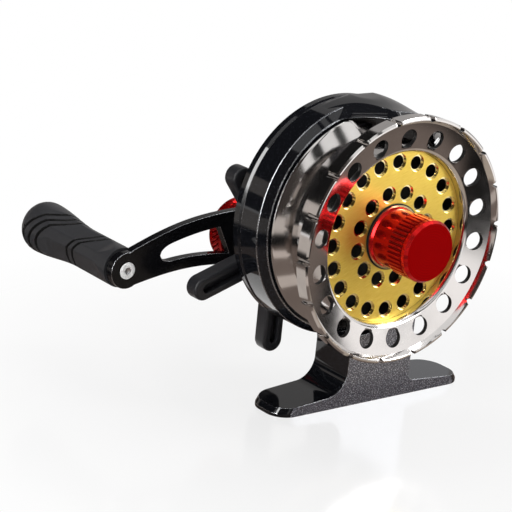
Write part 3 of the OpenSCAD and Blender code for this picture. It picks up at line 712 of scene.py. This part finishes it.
steel = grained("ground_steel", (0.62, 0.63, 0.65), 1.0, 0.3, 0.15,
                (0.5, 0.51, 0.53), (0.7, 0.71, 0.73), detail=4.0, rough=(0.22, 0.38), bump=(0.08, 0.02))
brass = grained("cut_brass", (0.78, 0.58, 0.27), 1.0, 0.3, 0.2,
                (0.66, 0.46, 0.18), (0.84, 0.64, 0.31), rough=(0.22, 0.36))
washer = grained("matte_washer", (0.02, 0.02, 0.02), 0.0, 0.6, 0.2,
                 (0.004, 0.004, 0.004), (0.01, 0.0095, 0.009), specular=0.15, bump=(0.2, 0.03))
carbon = woven_carbon()

inner_finishes = (
    (steel, "cover_screws", "spool_bearing_front", "spool_bearing_rear", "shaft_bearing", "one_way_bearing",
     "spool_shaft", "shaft_clip", "drive_shaft", "pressure_plate", "clutch_sleeve", "spring_washers",
     "grip_screw", "grip_bearings"),
    (brass, "pinion_gear", "drive_gear", "drag_nut"),
    (carbon, "drag_washers"),
    (satin, "shaft_spacer"),
    (grip_plastic, "grip_cap"),
)
for material, *nodes in inner_finishes:
    for node in nodes:
        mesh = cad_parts[node].data
        mesh.materials.clear()
        mesh.materials.append(material)


# Spool

def in_the_dark(face):
    """Picks the inside of the spool's drum and the walls of its vents, which get a dark finish as painted
    shade.
    """
    radius, depth = turned_place(spool_axis, face.center)
    inside = radius < ledge_r + 0.01 and depth < groove_back + 0.1
    upright = abs(face.normal.y) < 0.1 and depth < flange_t
    return inside or (upright and drum_r - 0.6 < radius < rim_in_r - 1)


def make_spool():
    lip = mouth_r - recess_r
    mouth = arc(mouth_r, dish + lip, lip, 270, 180, 8)
    rim_end = flange_t + rim_back
    profile = [
        (rim_in_r, -dish), (rim_in_r + rim_slope, rim_bevel - rim_front),
        (rim_in_r + rim_slope + rim_bevel, -rim_front), (flange_r - rim_round, -rim_front),
        (flange_r, rim_round - rim_front), (flange_r, rim_end - rim_round),
        (flange_r - rim_round, rim_end), (rim_in_r + 0.2, rim_end), (rim_in_r - 0.1, flange_wall - dish),
        (drum_r, flange_t), (drum_r, groove_back),
        (rear_r - rear_round[0], spool_back - rear_round[1]), (rear_r, spool_back - rear_edge),
        (rear_r, spool_back), (rear_r - rear_wall, spool_back),
        (drum_r, groove_back + back_wall_t), (hub_r, groove_back + back_wall_t), (hub_r, spool_back),
        (spool_bore_r, spool_back), (spool_bore_r, plate_front), (hub_r, plate_front),
        (hub_r, groove_back), (ledge_r, groove_back), (ledge_r, plate_back), (recess_r, plate_back),
        *reversed(mouth),
    ]
    spool = lathe("spool_turned", profile, spool_axis)
    cut_ring(spool, spool_axis, vent_count, vent_circle_r, vent_turn, vent_r, vent_front,
             flange_t + vent_over)
    cut_ring(spool, spool_axis, vent_count, notch_circle_r, vent_turn + 180 / vent_count, notch_r,
             -rim_front - over, rim_end + over)
    round_edges(spool, spool_edge)
    smooth(spool)
    dress(spool, "spool", nickel, "nickel_black", "spool")
    # The drum's inside and the vent walls are painted dark, as painted shade
    paint_faces(spool, bore, in_the_dark)


def make_face_plate():
    inner_r = hub_r + plate_gap
    profile = [(plate_r, plate_front), (plate_r, plate_back), (inner_r, plate_back), (inner_r, plate_front)]
    disc = lathe("face_plate_drilled", profile, spool_axis)
    for count, circle_r, turn in (outer_row, inner_row):
        cut_ring(disc, spool_axis, count, circle_r, turn, plate_hole_r, plate_front - over,
                 plate_front + plate_step)
        cut_ring(disc, spool_axis, count, circle_r, turn, plate_step_r, plate_front, plate_back + over)
    round_edges(disc, plate_edge)
    smooth(disc)
    dress(disc, "spool", gold, "gold", "face_plate")
    paint_faces(disc, cut_gold, lambda face: abs(face.normal.y) < 0.98
                or turned_place(spool_axis, face.center)[1] > plate_front + 0.3)


def knurl(piece, axis, radius, front, back, twist):
    """Presses gaps into a turned band, with a darker red in them as painted shade; twist is in turns per
    millimetre.
    """
    for vertex in piece.data.vertices:
        x, z = vertex.co.x - axis.x, vertex.co.z - axis.z
        distance, depth = turned_place(axis, vertex.co)
        if distance > radius - 0.05 and front < depth < back:
            phase = knurl_count * (math.atan2(x, z) / math.tau + twist * depth)
            ridge = ease((abs(phase % 1 - 0.5) * 2 - knurl_gap) / knurl_slope)
            squeeze = 1 - knurl_t * (1 - ridge) / radius
            vertex.co.x = axis.x + x * squeeze
            vertex.co.z = axis.z + z * squeeze

    def pressed(face):
        distance, depth = turned_place(axis, face.center)
        return front < depth < back and radius - knurl_t - 0.1 < distance < radius - 0.3

    piece.data.materials.append(red)
    paint_faces(piece, shaded_gap_red, pressed)


def make_spool_knob():
    front = knob_back - knob_h
    cap = front + knob_cap
    start = front + knob_knurl_start
    end = front + knob_knurl_end
    steps = 24
    ridged = [(knob_r, start + (end - start) * i / steps) for i in range(steps + 1)]
    profile = [(0, front), (knob_face_r, front), (knob_r, front + knob_bevel), (knob_r, cap),
               (knob_r - knurl_t, cap + knob_step), (knob_r - knurl_t, start - knob_step / 2), *ridged,
               (knob_neck_r, end + knob_step), (knob_neck_r, knob_back - knob_flare),
               (knob_r - 0.1, knob_back),
               (spool_bore_r, knob_back), (spool_bore_r, knob_bore_front), (0, knob_bore_front)]
    knob = lathe("spool_knob_turned", profile, spool_axis, knurl_count * 12)
    knurl(knob, spool_axis, knob_r, start - 0.01, end + 0.01, 0)
    smooth(knob, 30)
    dress(knob, "spool_knob", red, "red", "spool_knob")
    paint_faces(knob, face_red, lambda face: turned_place(spool_axis, face.center)[1] < front + 0.01)


def make_knob_washer():
    low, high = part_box("knob_washer")
    outer_r, front = turned_place(spool_axis, Vector((high.x, low.y, spool_axis.z)))
    back = turned_place(spool_axis, high)[1]
    profile = [(spool_bore_r, front), (outer_r - washer_bevel, front), (outer_r, front + washer_bevel),
               (outer_r, back), (spool_bore_r, back)]
    disc = lathe("knob_washer_turned", profile, spool_axis)
    smooth(disc)
    dress(disc, "knob_washer", washer, "washer_black", "knob_washer")
    paint_faces(disc, cut_gold, lambda face: face.normal.y < -0.98)


# Frame

def make_ring():
    profile = [(0, wall_front), (ring_front_r, wall_front), (ring_r, wall_front + ring_bevel),
               (ring_r, cover_front - ring_back_bevel[1]), (ring_r - ring_back_bevel[0], cover_front),
               (chamber_r, cover_front), (chamber_r, wall_back), (0, wall_back)]
    ring = lathe("frame_ring", profile, spool_axis)
    sheen_edges(ring, ring_edge, gloss, edge_sheen)
    for axis in (spool_axis, crank_axis):
        drill = rod("drill", axis, 0, 0, bearing_seat_r, wall_front - over, wall_back + over)
        cut(ring, drill)
    smooth(ring)
    dress(ring, "frame", gloss, "frame_black", "frame")


def crown_radius(angle, depth):
    """The hood's outer radius, which swells out of the ring and is no higher than the spool's rim."""
    rise = min(ease((depth - hood_lip) / hood_rise), ease((hood_back - depth) / hood_fall))
    swell = max(0, 1 - ((angle - hood_peak) / hood_spread) ** 2) ** 2
    base = ring_r - hood_inset
    radius = base + (hood_lip_r + (hood_r - hood_lip_r) * rise - base) * swell
    top = (cad_high.z - spool_axis.z) / MM
    return min(radius, top / math.cos(angle))


def flank_depth(angle, radius):
    """The depth of the hood's slanted flank, which is the same on both sides of its middle."""
    off = abs(angle - hood_angle)
    x, depth, z = hood_flank
    nx, ny, nz = hood_flank_normal
    return depth - (nx * (-radius * math.sin(off) - x) + nz * (radius * math.cos(off) - z)) / ny


def shape_hood(hood):
    """Moves the turned hood's points to its flanks and its swollen crown."""
    for vertex in hood.data.vertices:
        radius, depth = turned_place(spool_axis, vertex.co)
        angle = math.atan2(vertex.co.x - spool_axis.x, vertex.co.z - spool_axis.z)
        if radius > hood_in_r + hood_margin:
            share = (depth - hood_lip) / (hood_back - hood_lip)
            front = hood_lip
            for _ in range(8):
                front = max(hood_lip, flank_depth(angle, crown_radius(angle, front)))
            depth = front + (hood_back - front) * share
            radius = crown_radius(angle, depth)
        elif depth < hood_back - hood_margin:
            depth = max(hood_tip, flank_depth(angle, hood_in_r))
        x, z = polar(radius, math.degrees(angle))
        vertex.co = place(spool_axis, x, depth, z)


def make_hood():
    length = hood_back - hood_lip
    crown = [(hood_lip_r, hood_lip + length * i / hood_rings) for i in range(hood_rings + 1)]
    profile = [(hood_in_r, hood_tip), *crown, (hood_in_r, hood_back)]
    points = []
    for radius, depth in profile:
        x, z = polar(radius, math.degrees(hood_angle + hood_half))
        points.append(place(spool_axis, x, depth, z))
    hood = loop("line_hood", points)
    edit(hood)
    bpy.ops.mesh.spin(steps=hood_steps, angle=2 * hood_half, center=(spool_axis.x, 0, spool_axis.z),
                      axis=(0, 1, 0))
    bpy.ops.mesh.select_all(action="SELECT")
    bpy.ops.mesh.fill_holes(sides=0)
    face_outwards()
    leave()
    shape_hood(hood)
    sheen_edges(hood, hood_edge, gloss, edge_sheen)
    hood.data.materials.append(satin)
    for side in (1, -1):
        cut(hood, flank_grooves(side))
    smooth(hood)
    dress(hood, "frame", gloss, "frame_black", "frame")


def flank_grooves(side):
    """Two round bars that lie in the slanted flank of the hood, to cut its grooves."""
    turn = Matrix.Rotation(hood_angle, 3, "Y")
    normal = Vector(hood_flank_normal)
    run = Vector(hood_groove_run)
    run = (run - normal * run.dot(normal)).normalized()
    lift = run.cross(normal).normalized()
    if lift.z < 0:
        lift = -lift
    bars = []
    for height in hood_groove_heights:
        middle = Vector(hood_flank) + run * hood_groove_middle + lift * height
        bpy.ops.mesh.primitive_cylinder_add(vertices=24, radius=hood_groove_r * MM,
                                            depth=hood_groove_l * MM)
        bar = named("bar")
        px, pd, pz = turn @ Vector((side * middle.x, middle.y, middle.z))
        way = turn @ Vector((side * run.x, run.y, run.z))
        bar.data.transform(Matrix.Translation(place(spool_axis, px, pd, pz))
                           @ way.to_track_quat("Z", "Y").to_matrix().to_4x4())
        bar.data.materials.append(gloss)
        bar.data.materials.append(edge_sheen)
        paint_faces(bar, satin, lambda face: True)
        bars.append(bar)
    return join(bars)


def make_rear_cover():
    outer_groove, inner_groove = [end_groove(*groove, cover_back) for groove in cover_grooves]
    profile = [(0, cover_front), (ring_r - cover_front_bevel[0], cover_front),
               (ring_r, cover_front + cover_front_bevel[1]), (ring_r, cover_back - cover_bevel),
               (ring_r - cover_bevel, cover_back), *outer_groove, *inner_groove, (0, cover_back)]
    cover = lathe("rear_cover_turned", profile, spool_axis)
    boss_front = cover_front + 1
    boss_profile = [(0, boss_front), (boss_r, boss_front), (boss_r, boss_back - boss_bevel),
                    (boss_r - boss_bevel, boss_back), (0, boss_back)]
    combine(cover, lathe("boss", boss_profile, crank_axis), "UNION")
    drill = rod("drill", crank_axis, 0, 0, boss_bore_r, cover_front - over, boss_back + over)
    cut(cover, drill)
    cut_ring(cover, spool_axis, screw_count, screw_circle_r, 0, screw_sink_r, cover_back - screw_sink,
             cover_back + over)
    clean(cover)
    sheen_edges(cover, cover_edge, gloss, edge_sheen)
    smooth(cover)
    dress(cover, "frame", gloss, "cover_black", "rear_cover")


def plan_block():
    """The foot's outline from above, as a tall block whose ends roll back above a thin edge."""
    x = foot_half - foot_corner_r
    front = foot_front + foot_corner_r
    end = foot_back - foot_corner_r
    outline = [*arc(x, end, foot_corner_r, 0, 90), *arc(-x, end, foot_corner_r, 90, 180),
               *arc(-x, front, foot_corner_r, 180, 270), *arc(x, front, foot_corner_r, 270, 360)]
    block = loop("plan", [Vector((x * MM, flange_face + d * MM, -over * MM)) for x, d in outline])
    edit(block)
    bpy.ops.mesh.edge_face_add()
    for rise, narrowing in ((over + foot_edge_t, 0), (foot_mid_t - foot_edge_t, foot_roll), (plan_top, 0)):
        bpy.ops.mesh.extrude_region_move(TRANSFORM_OT_translate={"value": (0, 0, rise * MM)})
        bpy.ops.transform.resize(value=(1 - narrowing / foot_half, 1, 1), center_override=(0, 0, 0))
    face_outwards()
    leave()
    return block


def stem_fillets(side, stem, fillet_r):
    """Centres of the stem's lower and upper fillets on one side, and the angle where it meets the ring."""
    lead = spool_axis.x / MM
    height = spool_axis.z / MM
    slope = (foot_mid_t - foot_end_t) / (foot_half - side * stem)
    x = stem + side * fillet_r
    z = foot_end_t + slope * (foot_half - side * x) + fillet_r
    top_x = stem + side * ring_fillet_r
    top_z = height - math.sqrt((ring_r + ring_fillet_r) ** 2 - (top_x - lead) ** 2)
    return (x, z), (top_x, top_z), math.degrees(math.atan2(height - top_z, lead - top_x))


def make_foot():
    left, top_left, left_touch = stem_fillets(-1, stem_left, left_fillet_r)
    right, top_right, right_touch = stem_fillets(1, stem_right, right_fillet_r)
    outline = [(-foot_half, 0), (foot_half, 0), (foot_half, foot_end_t),
               *arc(*right, right_fillet_r, 270, 180),
               *arc(*top_right, ring_fillet_r, 180, right_touch),
               (spool_axis.x / MM, spool_axis.z / MM - chamber_r),
               *arc(*top_left, ring_fillet_r, left_touch, 0),
               *arc(*left, left_fillet_r, 360, 270), (-foot_half, foot_end_t)]
    foot = plate("rod_foot", outline, Vector((0, 0, 0)), foot_front, foot_back)
    drill = rod("drill", spool_axis, 0, 0, stem_top_r, foot_front - over, foot_back + over, 256)
    cut(foot, drill)
    combine(foot, plan_block(), "INTERSECT")
    clean(foot, foot_scrap)
    sheen_edges(foot, foot_edge, gloss, edge_sheen)
    smooth(foot)
    dress(foot, "frame", gloss, "frame_black", "frame")
    # The foot's front and back faces get the lighter speckled finish: flecks, and painted light standing in
    # for light falling on the front face
    paint_faces(foot, lit_speckle, lambda face: abs(face.normal.y) > 0.97)


# Star wheel

def make_star():
    arm_end = star_r - star_arm_half
    tip = arc(0, -arm_end, star_arm_half, 0, -180, 24)
    outline = [(-star_arm_half, -star_arm_in), *reversed(tip), (star_arm_half, -star_arm_in)]
    arm = plate("star_arm", outline, crank_axis, star_front, star_arm_back)
    slot_in = star_hub_r + star_arm_half
    slot_out = star_r - 1.2 * star_arm_half
    slot = [*arc(0, -slot_in, star_slot_half, 0, 180), *arc(0, -slot_out, star_slot_half, 180, 360)]
    round_edges(arm, star_edge, 5)
    cut(arm, plate("slot", slot, crank_axis, star_front - over, star_front + star_slot_t))
    round_edges(arm, star_slot_edge, 2)
    arms = turned_copies(arm, star_count, crank_axis)
    profile = [(star_bore_r, star_front), (star_hub_r, star_front), (star_hub_r, star_arm_back),
               (star_hub_r - star_hub_bevel, star_back), (star_bore_r, star_back)]
    hub = lathe("star_hub", profile, crank_axis)
    socket = rod("drill", crank_axis, 0, 0, drag_nut_r, star_front - over, star_back - star_hub_bevel, 6)
    cut(hub, socket)
    round_edges(hub, star_hub_edge)
    star = join([hub, *arms])
    star.name = "star_wheel_cast"
    smooth(star)
    dress(star, "star", satin, "star_black", "star_wheel")


# Crank

def crank_point(x, z):
    """A point of the crank, x towards the grip and z across it, as x and z about the crank shaft."""
    return (-x * math.cos(crank_slope) - z * math.sin(crank_slope),
            z * math.cos(crank_slope) - x * math.sin(crank_slope))


def crank_middle(t):
    return crank_bow * math.sin(math.pi * t)


def crank_half(t):
    return crank_hub_half + (crank_end_half - crank_hub_half) * t


def slot_round(t):
    return math.sqrt(max(0, 1 - (max(0, t - slot_round_start) / (slot_end - slot_round_start)) ** 2))


def make_crank():
    steps = 40
    run = crank_side_end - crank_side_start
    shares = [crank_side_start + run * i / steps for i in range(steps + 1)]
    top = [(t * crank_r, crank_middle(t) + crank_half(t)) for t in shares]
    low = [(t * crank_r, crank_middle(t) - crank_half(t)) for t in reversed(shares)]
    end = arc(crank_r, 0, crank_end_half + crank_boss_over, crank_end_turn, -crank_end_turn, 36)
    hub = arc(0, 0, crank_hub_half + crank_boss_over, crank_hub_turn, -360 - crank_hub_turn, 48)
    outline = [crank_point(x, z) for x, z in [*top, *end, *low, *hub]]
    crank = plate("crank_arm_cut", outline, crank_axis, crank_front, crank_back)
    top = [slot_top_start + (slot_end - slot_top_start) * i / steps for i in range(steps + 1)]
    low = [slot_low_start + (slot_end - slot_low_start) * i / steps for i in range(steps - 1, -1, -1)]
    slot = [(t * crank_r, crank_middle(t) + (crank_half(t) - crank_rail) * slot_round(t)) for t in top]
    slot += [(t * crank_r, crank_middle(t) - (crank_half(t) - crank_low_rail) * slot_round(t)) for t in low]
    slot = [crank_point(x, z) for x, z in slot]
    front = crank_front - over
    back = crank_back + over
    cut(crank, plate("slot", slot, crank_axis, front, back))
    cut(crank, rod("drill", pin_axis, 0, 0, pin_hole_r, front, back))
    cut(crank, rod("drill", crank_axis, 0, 0, crank_bore_r, front, back))
    sheen_edges(crank, crank_edge, crank_paint, edge_sheen)
    smooth(crank)
    dress(crank, "handle", crank_paint, "crank_black", "crank_arm")


def make_handle_nut():
    start = crank_back + nut_plain
    end = nut_back - nut_plain
    steps = 20
    ridged = [(nut_r, start + 0.2 + (end - start - 0.4) * i / steps) for i in range(steps + 1)]
    profile = [(stud_r, crank_back), (nut_r, crank_back), (nut_r, start), (nut_r - nut_step, start + 0.1),
               *ridged, (nut_r - nut_step, end - 0.1), (nut_r, end), (nut_r, nut_back - nut_bevel),
               (nut_r - nut_bevel, nut_back), *end_groove(*nut_groove, nut_back), (0, nut_back),
               (0, nut_back - 1), (stud_r, nut_back - 1)]
    nut = lathe("crank_nut_turned", profile, crank_axis, knurl_count * 12)
    knurl(nut, crank_axis, nut_r, start + 0.15, end - 0.15, nut_twist)
    smooth(nut, 30)
    dress(nut, "handle", red, "red", "handle_nut")


def make_pin():
    """The grip's pin, with a dimpled rivet head in front of the crank and a shoulder behind it."""
    end = turned_place(pin_axis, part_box("knob_pin")[1])[1]
    shoulder_end = turned_place(pin_axis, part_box("grip_bearings")[0])[1] - 0.05
    head = crank_front - rivet_t
    profile = [(0, crank_front - dimple_middle), (0.6 * dimple_r, crank_front - dimple_floor),
               (dimple_r, head), *[(rivet_r - inset, head + drop) for inset, drop in rivet_round],
               (rivet_r, crank_front), (pin_r, crank_front), (pin_r, crank_back), (shoulder_r, crank_back),
               (shoulder_r, shoulder_end), (pin_r, shoulder_end), (pin_r, end), (pin_screw_r, end),
               (pin_screw_r, end - pin_screw_l), (0, end - pin_screw_l)]
    pin = lathe("grip_pin_riveted", profile, pin_axis, 96)
    smooth(pin)
    dress(pin, "handle", rivet, "steel", "knob_pin")

    def bare(face):
        radius, depth = turned_place(pin_axis, face.center)
        return radius < dimple_r or depth > crank_front

    paint_faces(pin, steel, bare)


# Grip

def swelling(s):
    return ease((s - grip_swell_at) / grip_swell_l)


def grip_faceting(s):
    """How far the grip's four flats are cut, along its length."""
    return ease((s - facet_start) / facet_rise) * ease((facet_end - s) / facet_fall)


def make_grip():
    body_l = grip_l - grip_dome
    flat_r = grip_bore_r + 1
    end_r = grip_neck_r + grip_swell * swelling(body_l)
    places = [body_l * i / grip_rings for i in range(grip_rings + 1)]
    turns = [math.pi / 2 * i / dome_rings for i in range(1, dome_rings + 1)]
    side = [(grip_neck_r + grip_swell * swelling(s), grip_front + s) for s in places]
    dome = [(flat_r + (end_r - flat_r) * math.cos(a), grip_front + body_l + grip_dome * math.sin(a))
            for a in turns]
    profile = [(grip_bore_r, grip_front), *side, *dome, (grip_bore_r, grip_front + grip_l)]
    grip = lathe("grip_moulded", profile, pin_axis, grip_sides)
    tilt = Vector((-math.sin(groove_turn), math.cos(groove_turn)))
    shaded_groove = set()
    for vertex in grip.data.vertices:
        x, z = (vertex.co.x - pin_axis.x) / MM, (vertex.co.z - pin_axis.z) / MM
        radius = math.hypot(x, z)
        if radius < grip_bore_r + 0.5:
            continue
        s = (vertex.co.y - flange_face) / MM - grip_front
        angle = math.atan2(-x, z) - grip_corner + math.pi / 4
        across = (angle + math.pi / 4) % (math.pi / 2) - math.pi / 4
        flat = 1 - (1 - grip_flat) * grip_faceting(s)
        shape = min(1, flat / math.cos(across))
        lean = s + groove_slant * (x * tilt.x + z * tilt.y)
        depth = 0
        for groove in groove_places:
            off = abs(lean - groove) / math.hypot(1, groove_slant) / (groove_w / 2)
            depth = max(depth, groove_t * min(1, max(0, 4 - 4 * off)))
        if depth > groove_shade_depth * groove_t:
            shaded_groove.add(vertex.index)
        squeeze = shape * (1 - depth / radius)
        vertex.co.x = pin_axis.x + x * squeeze * MM
        vertex.co.z = pin_axis.z + z * squeeze * MM
    smooth(grip, 30)
    dress(grip, "grip", grip_plastic, "grip_black", "grip")
    # The grooves' floors get the washer's matte black, as painted shade
    paint_faces(grip, washer, lambda face: any(index in shaded_groove for index in face.vertices))


make_spool()
make_face_plate()
make_spool_knob()
make_knob_washer()
make_ring()
make_hood()
make_rear_cover()
make_foot()
make_star()
make_crank()
make_handle_nut()
make_pin()
make_grip()


# Studio, in metres

floor_r = 1.5
floor_white = 0.92
floor_mirror = 0.15
floor_polish = 0.14
floor_near = 0.05
floor_white_end = 0.13
floor_mirror_end = 0.14
flag_distance = 0.9
strip_drop = 0.0005
dark = (0.01, 0.01, 0.01)
warm = (0.2, 0.16, 0.14)
near = (0.5, 0.43, 0.36)
beige = (0.6, 0.55, 0.51)
white = (1.3, 1.28, 1.27)
reel_middle = (cad_low + cad_high) / 2


def out_from_reel(tree):
    """The distance from the middle of the table, in metres."""
    distance = tree.nodes.new("ShaderNodeVectorMath")
    distance.operation = "LENGTH"
    tree.links.new(spot(tree), distance.inputs[0])
    return distance.outputs["Value"]


def sum_up(tree, operation, first, second):
    """One step of arithmetic on two values."""
    step = tree.nodes.new("ShaderNodeMath")
    step.operation = operation
    tree.links.new(first, step.inputs[0])
    tree.links.new(second, step.inputs[1])
    return step.outputs["Value"]


def blend(tree, share, first, second):
    """A mix of two surfaces."""
    mix = tree.nodes.new("ShaderNodeMixShader")
    tree.links.new(share, mix.inputs["Fac"])
    tree.links.new(first, mix.inputs[1])
    tree.links.new(second, mix.inputs[2])
    return mix.outputs["Shader"]


def make_floor():
    """A white table top that keeps the reel's shadow and a faint mirror image close to it."""
    bpy.ops.mesh.primitive_circle_add(vertices=CARD_SIDES, radius=floor_r, fill_type="NGON")
    floor = named("floor")
    material, tree, shader = start_finish("floor_white", (0.9, 0.9, 0.9), 0.0, 0.9)
    roughen(tree, shader, grain(tree, spot(tree), 40.0), 0.85, 0.95)
    shader.inputs["Specular IOR Level"].default_value = 0.0
    distance = out_from_reel(tree)
    whiteness = spread(tree, distance, floor_white, 1.0, floor_near, floor_white_end)
    mirror = spread(tree, distance, floor_mirror, 0.0, floor_near, floor_mirror_end)
    path = tree.nodes.new("ShaderNodeLightPath")
    share = sum_up(tree, "MULTIPLY", path.outputs["Is Camera Ray"], whiteness)
    glow = tree.nodes.new("ShaderNodeEmission")
    lit = blend(tree, share, shader.outputs["BSDF"], glow.outputs["Emission"])
    polish = tree.nodes.new("ShaderNodeBsdfGlossy")
    polish.inputs["Roughness"].default_value = floor_polish
    coated = blend(tree, mirror, lit, polish.outputs["BSDF"])
    tree.links.new(coated, tree.nodes["Material Output"].inputs["Surface"])
    floor.data.materials.append(material)
    floor.visible_glossy = False


def reflector(card, tones):
    """Makes a card that only gloss and metal see; its tones run out from the reel."""
    material = bpy.data.materials.new(card.name)
    material.use_nodes = True
    tree = material.node_tree
    tree.nodes.remove(tree.nodes["Principled BSDF"])
    reach = spread(tree, out_from_reel(tree), 0, 1, 0, 1)
    glow = tree.nodes.new("ShaderNodeEmission")
    tree.links.new(shades(tree, reach, *tones), glow.inputs["Color"])
    tree.links.new(glow.outputs["Emission"], tree.nodes["Material Output"].inputs["Surface"])
    card.data.materials.append(material)
    card.visible_camera = False
    card.visible_diffuse = False
    card.visible_shadow = False
    card.visible_transmission = False


def make_disc_card(name, radius, middle, *tones):
    """A round card that lies or hangs level."""
    bpy.ops.mesh.primitive_circle_add(vertices=CARD_SIDES, radius=radius, fill_type="NGON", location=middle)
    reflector(named(name), tones)


def make_strip(name, start, end, width, *tones):
    """A strip of paper on the table, from one point to another, that the polished metal sees."""
    bpy.ops.mesh.primitive_plane_add(size=2)
    strip = named(name)
    start = Vector((*start, -strip_drop))
    end = Vector((*end, -strip_drop))
    aside = (end - start).cross(Vector((0, 0, 1))).normalized() * width / 2
    for vertex in strip.data.vertices:
        vertex.co = (start if vertex.co.x < 0 else end) + aside * (1 if vertex.co.y < 0 else -1)
    reflector(strip, tones)


def make_flag(name, left, right, low, high, tone, distance=flag_distance):
    """An upright card between two bearings and two heights, in degrees as seen from the reel."""
    bpy.ops.mesh.primitive_grid_add(x_subdivisions=12, y_subdivisions=1, size=2)
    flag = named(name)
    for vertex in flag.data.vertices:
        bearing = math.radians(left + (right - left) * (vertex.co.x + 1) / 2)
        height = math.radians(low + (high - low) * (vertex.co.y + 1) / 2)
        way = Vector((math.sin(bearing), -math.cos(bearing), math.tan(height)))
        vertex.co = reel_middle + distance * way
    reflector(flag, [(0.0, tone)])


def make_lamp(name, position, size, power):
    """A soft lamp that points at the reel."""
    light = bpy.data.lights.new(name, "AREA")
    light.shape = "RECTANGLE"
    light.size, light.size_y = size
    light.energy = power
    lamp = bpy.data.objects.new(name, light)
    bpy.context.collection.objects.link(lamp)
    lamp.location = position
    lamp.rotation_mode = "QUATERNION"
    lamp.rotation_quaternion = (reel_middle - Vector(position)).to_track_quat("-Z", "Y")


def make_world():
    """A white surround for the camera and for gloss, and a dimmer one for all other light."""
    world = bpy.data.worlds.new("studio")
    bpy.context.scene.world = world
    world.use_nodes = True
    tree = world.node_tree
    path = tree.nodes.new("ShaderNodeLightPath")
    seen = sum_up(tree, "MAXIMUM", path.outputs["Is Camera Ray"], path.outputs["Is Glossy Ray"])
    through = sum_up(tree, "MAXIMUM", seen, path.outputs["Is Transmission Ray"])
    mix = tree.nodes.new("ShaderNodeMix")
    mix.data_type = "RGBA"
    mix.inputs["A"].default_value = (0.34, 0.34, 0.35, 1)
    mix.inputs["B"].default_value = (1, 1, 1, 1)
    tree.links.new(through, mix.inputs["Factor"])
    tree.links.new(mix.outputs["Result"], tree.nodes["Background"].inputs["Color"])


make_floor()
make_world()
make_disc_card("table", 0.6, (0, 0, -MM),
               (0, warm), (0.115, warm), (0.14, dark), (0.19, dark), (0.22, beige))
make_strip("front_table", (0.29, -0.02), (0.29, -0.6), 0.62,
           (0, near), (0.11, near), (0.13, warm), (0.152, warm), (0.163, dark), (0.216, dark),
           (0.236, white))
make_strip("near_paper", (-0.052, -0.032), (-0.03, -0.048), 0.014, (0, (0.6, 0.53, 0.48)))
make_strip("front_paper", (-0.1, -0.06), (-0.04, -0.1), 0.02, (0, (0.66, 0.58, 0.53)))
make_strip("ring_paper", (-0.05, 0.047), (-0.01, 0.028), 0.014, (0, white))
make_strip("side_paper", (-0.1, 0.06), (-0.056, 0.024), 0.02, (0, beige))
make_disc_card("roof", 0.42, (0.1, 0.3, 0.9), (0, (0.03, 0.03, 0.034)))
make_flag("camera_flag", -66, -14, -8, 48, (0.05, 0.042, 0.038))
make_flag("front_flag", -7, 1, -5, 75, dark)
make_flag("side_flag", 14, 22, -5, 75, dark)
make_flag("right_flag", 46, 58, 4, 24, (0.08, 0.07, 0.065))
make_flag("left_flag", -125, -92, -8, 60, dark)
make_flag("rear_flag", -200, -125, 17, 70, dark)
make_flag("rear_band", -200, -125, 7, 17, beige)
make_flag("rear_low", -200, -125, -3, 7, dark)
make_flag("far_flag", 95, 160, 19, 50, (0.42, 0.41, 0.405))
make_flag("far_low", 95, 160, -20, 19, (0.46, 0.445, 0.44))
make_flag("right_card", 114, 133, -4, 8, (0.6, 0.6, 0.62), 0.162)
make_lamp("left_strip", (-0.86, -0.24, 0.42), (0.16, 0.9), 6)
make_lamp("low_front", (0.55, -0.68, 0.27), (0.4, 0.3), 3)
make_lamp("fill", (0.62, -0.35, 0.72), (0.35, 0.35), 4)
make_lamp("top", (0.1, 0.15, 0.95), (0.7, 0.3), 5)

# Camera

photo_size = 512
lens_pixels = 1830.8
hub_pixel = (401.29, 240.31)
hub_distance = 471.43 * MM
azimuth = math.radians(-39.064)
elevation = math.radians(17.442)
roll = math.radians(5.5)
sensor = 36.0
nearest = 0.01

back = Vector((math.sin(azimuth) * math.cos(elevation), -math.cos(azimuth) * math.cos(elevation),
               math.sin(elevation)))
level = Vector((math.cos(azimuth), math.sin(azimuth), 0))
upright = back.cross(level)
right = math.cos(roll) * level + math.sin(roll) * upright
up = math.cos(roll) * upright - math.sin(roll) * level
hub = place(spool_axis, 0, 0, 0)
across = hub_distance * (hub_pixel[0] - photo_size / 2) / lens_pixels
down = hub_distance * (hub_pixel[1] - photo_size / 2) / lens_pixels
camera_data = bpy.data.cameras.new("camera")
camera_data.sensor_width = sensor
camera_data.lens = sensor * lens_pixels / photo_size
camera_data.clip_start = nearest
camera = bpy.data.objects.new("camera", camera_data)
bpy.context.collection.objects.link(camera)
turn = Matrix((right, up, back)).transposed()
stand = hub - right * across + up * down + back * hub_distance
camera.matrix_world = Matrix.Translation(stand) @ turn.to_4x4()
bpy.context.scene.camera = camera
bpy.context.scene.view_settings.view_transform = "Standard"
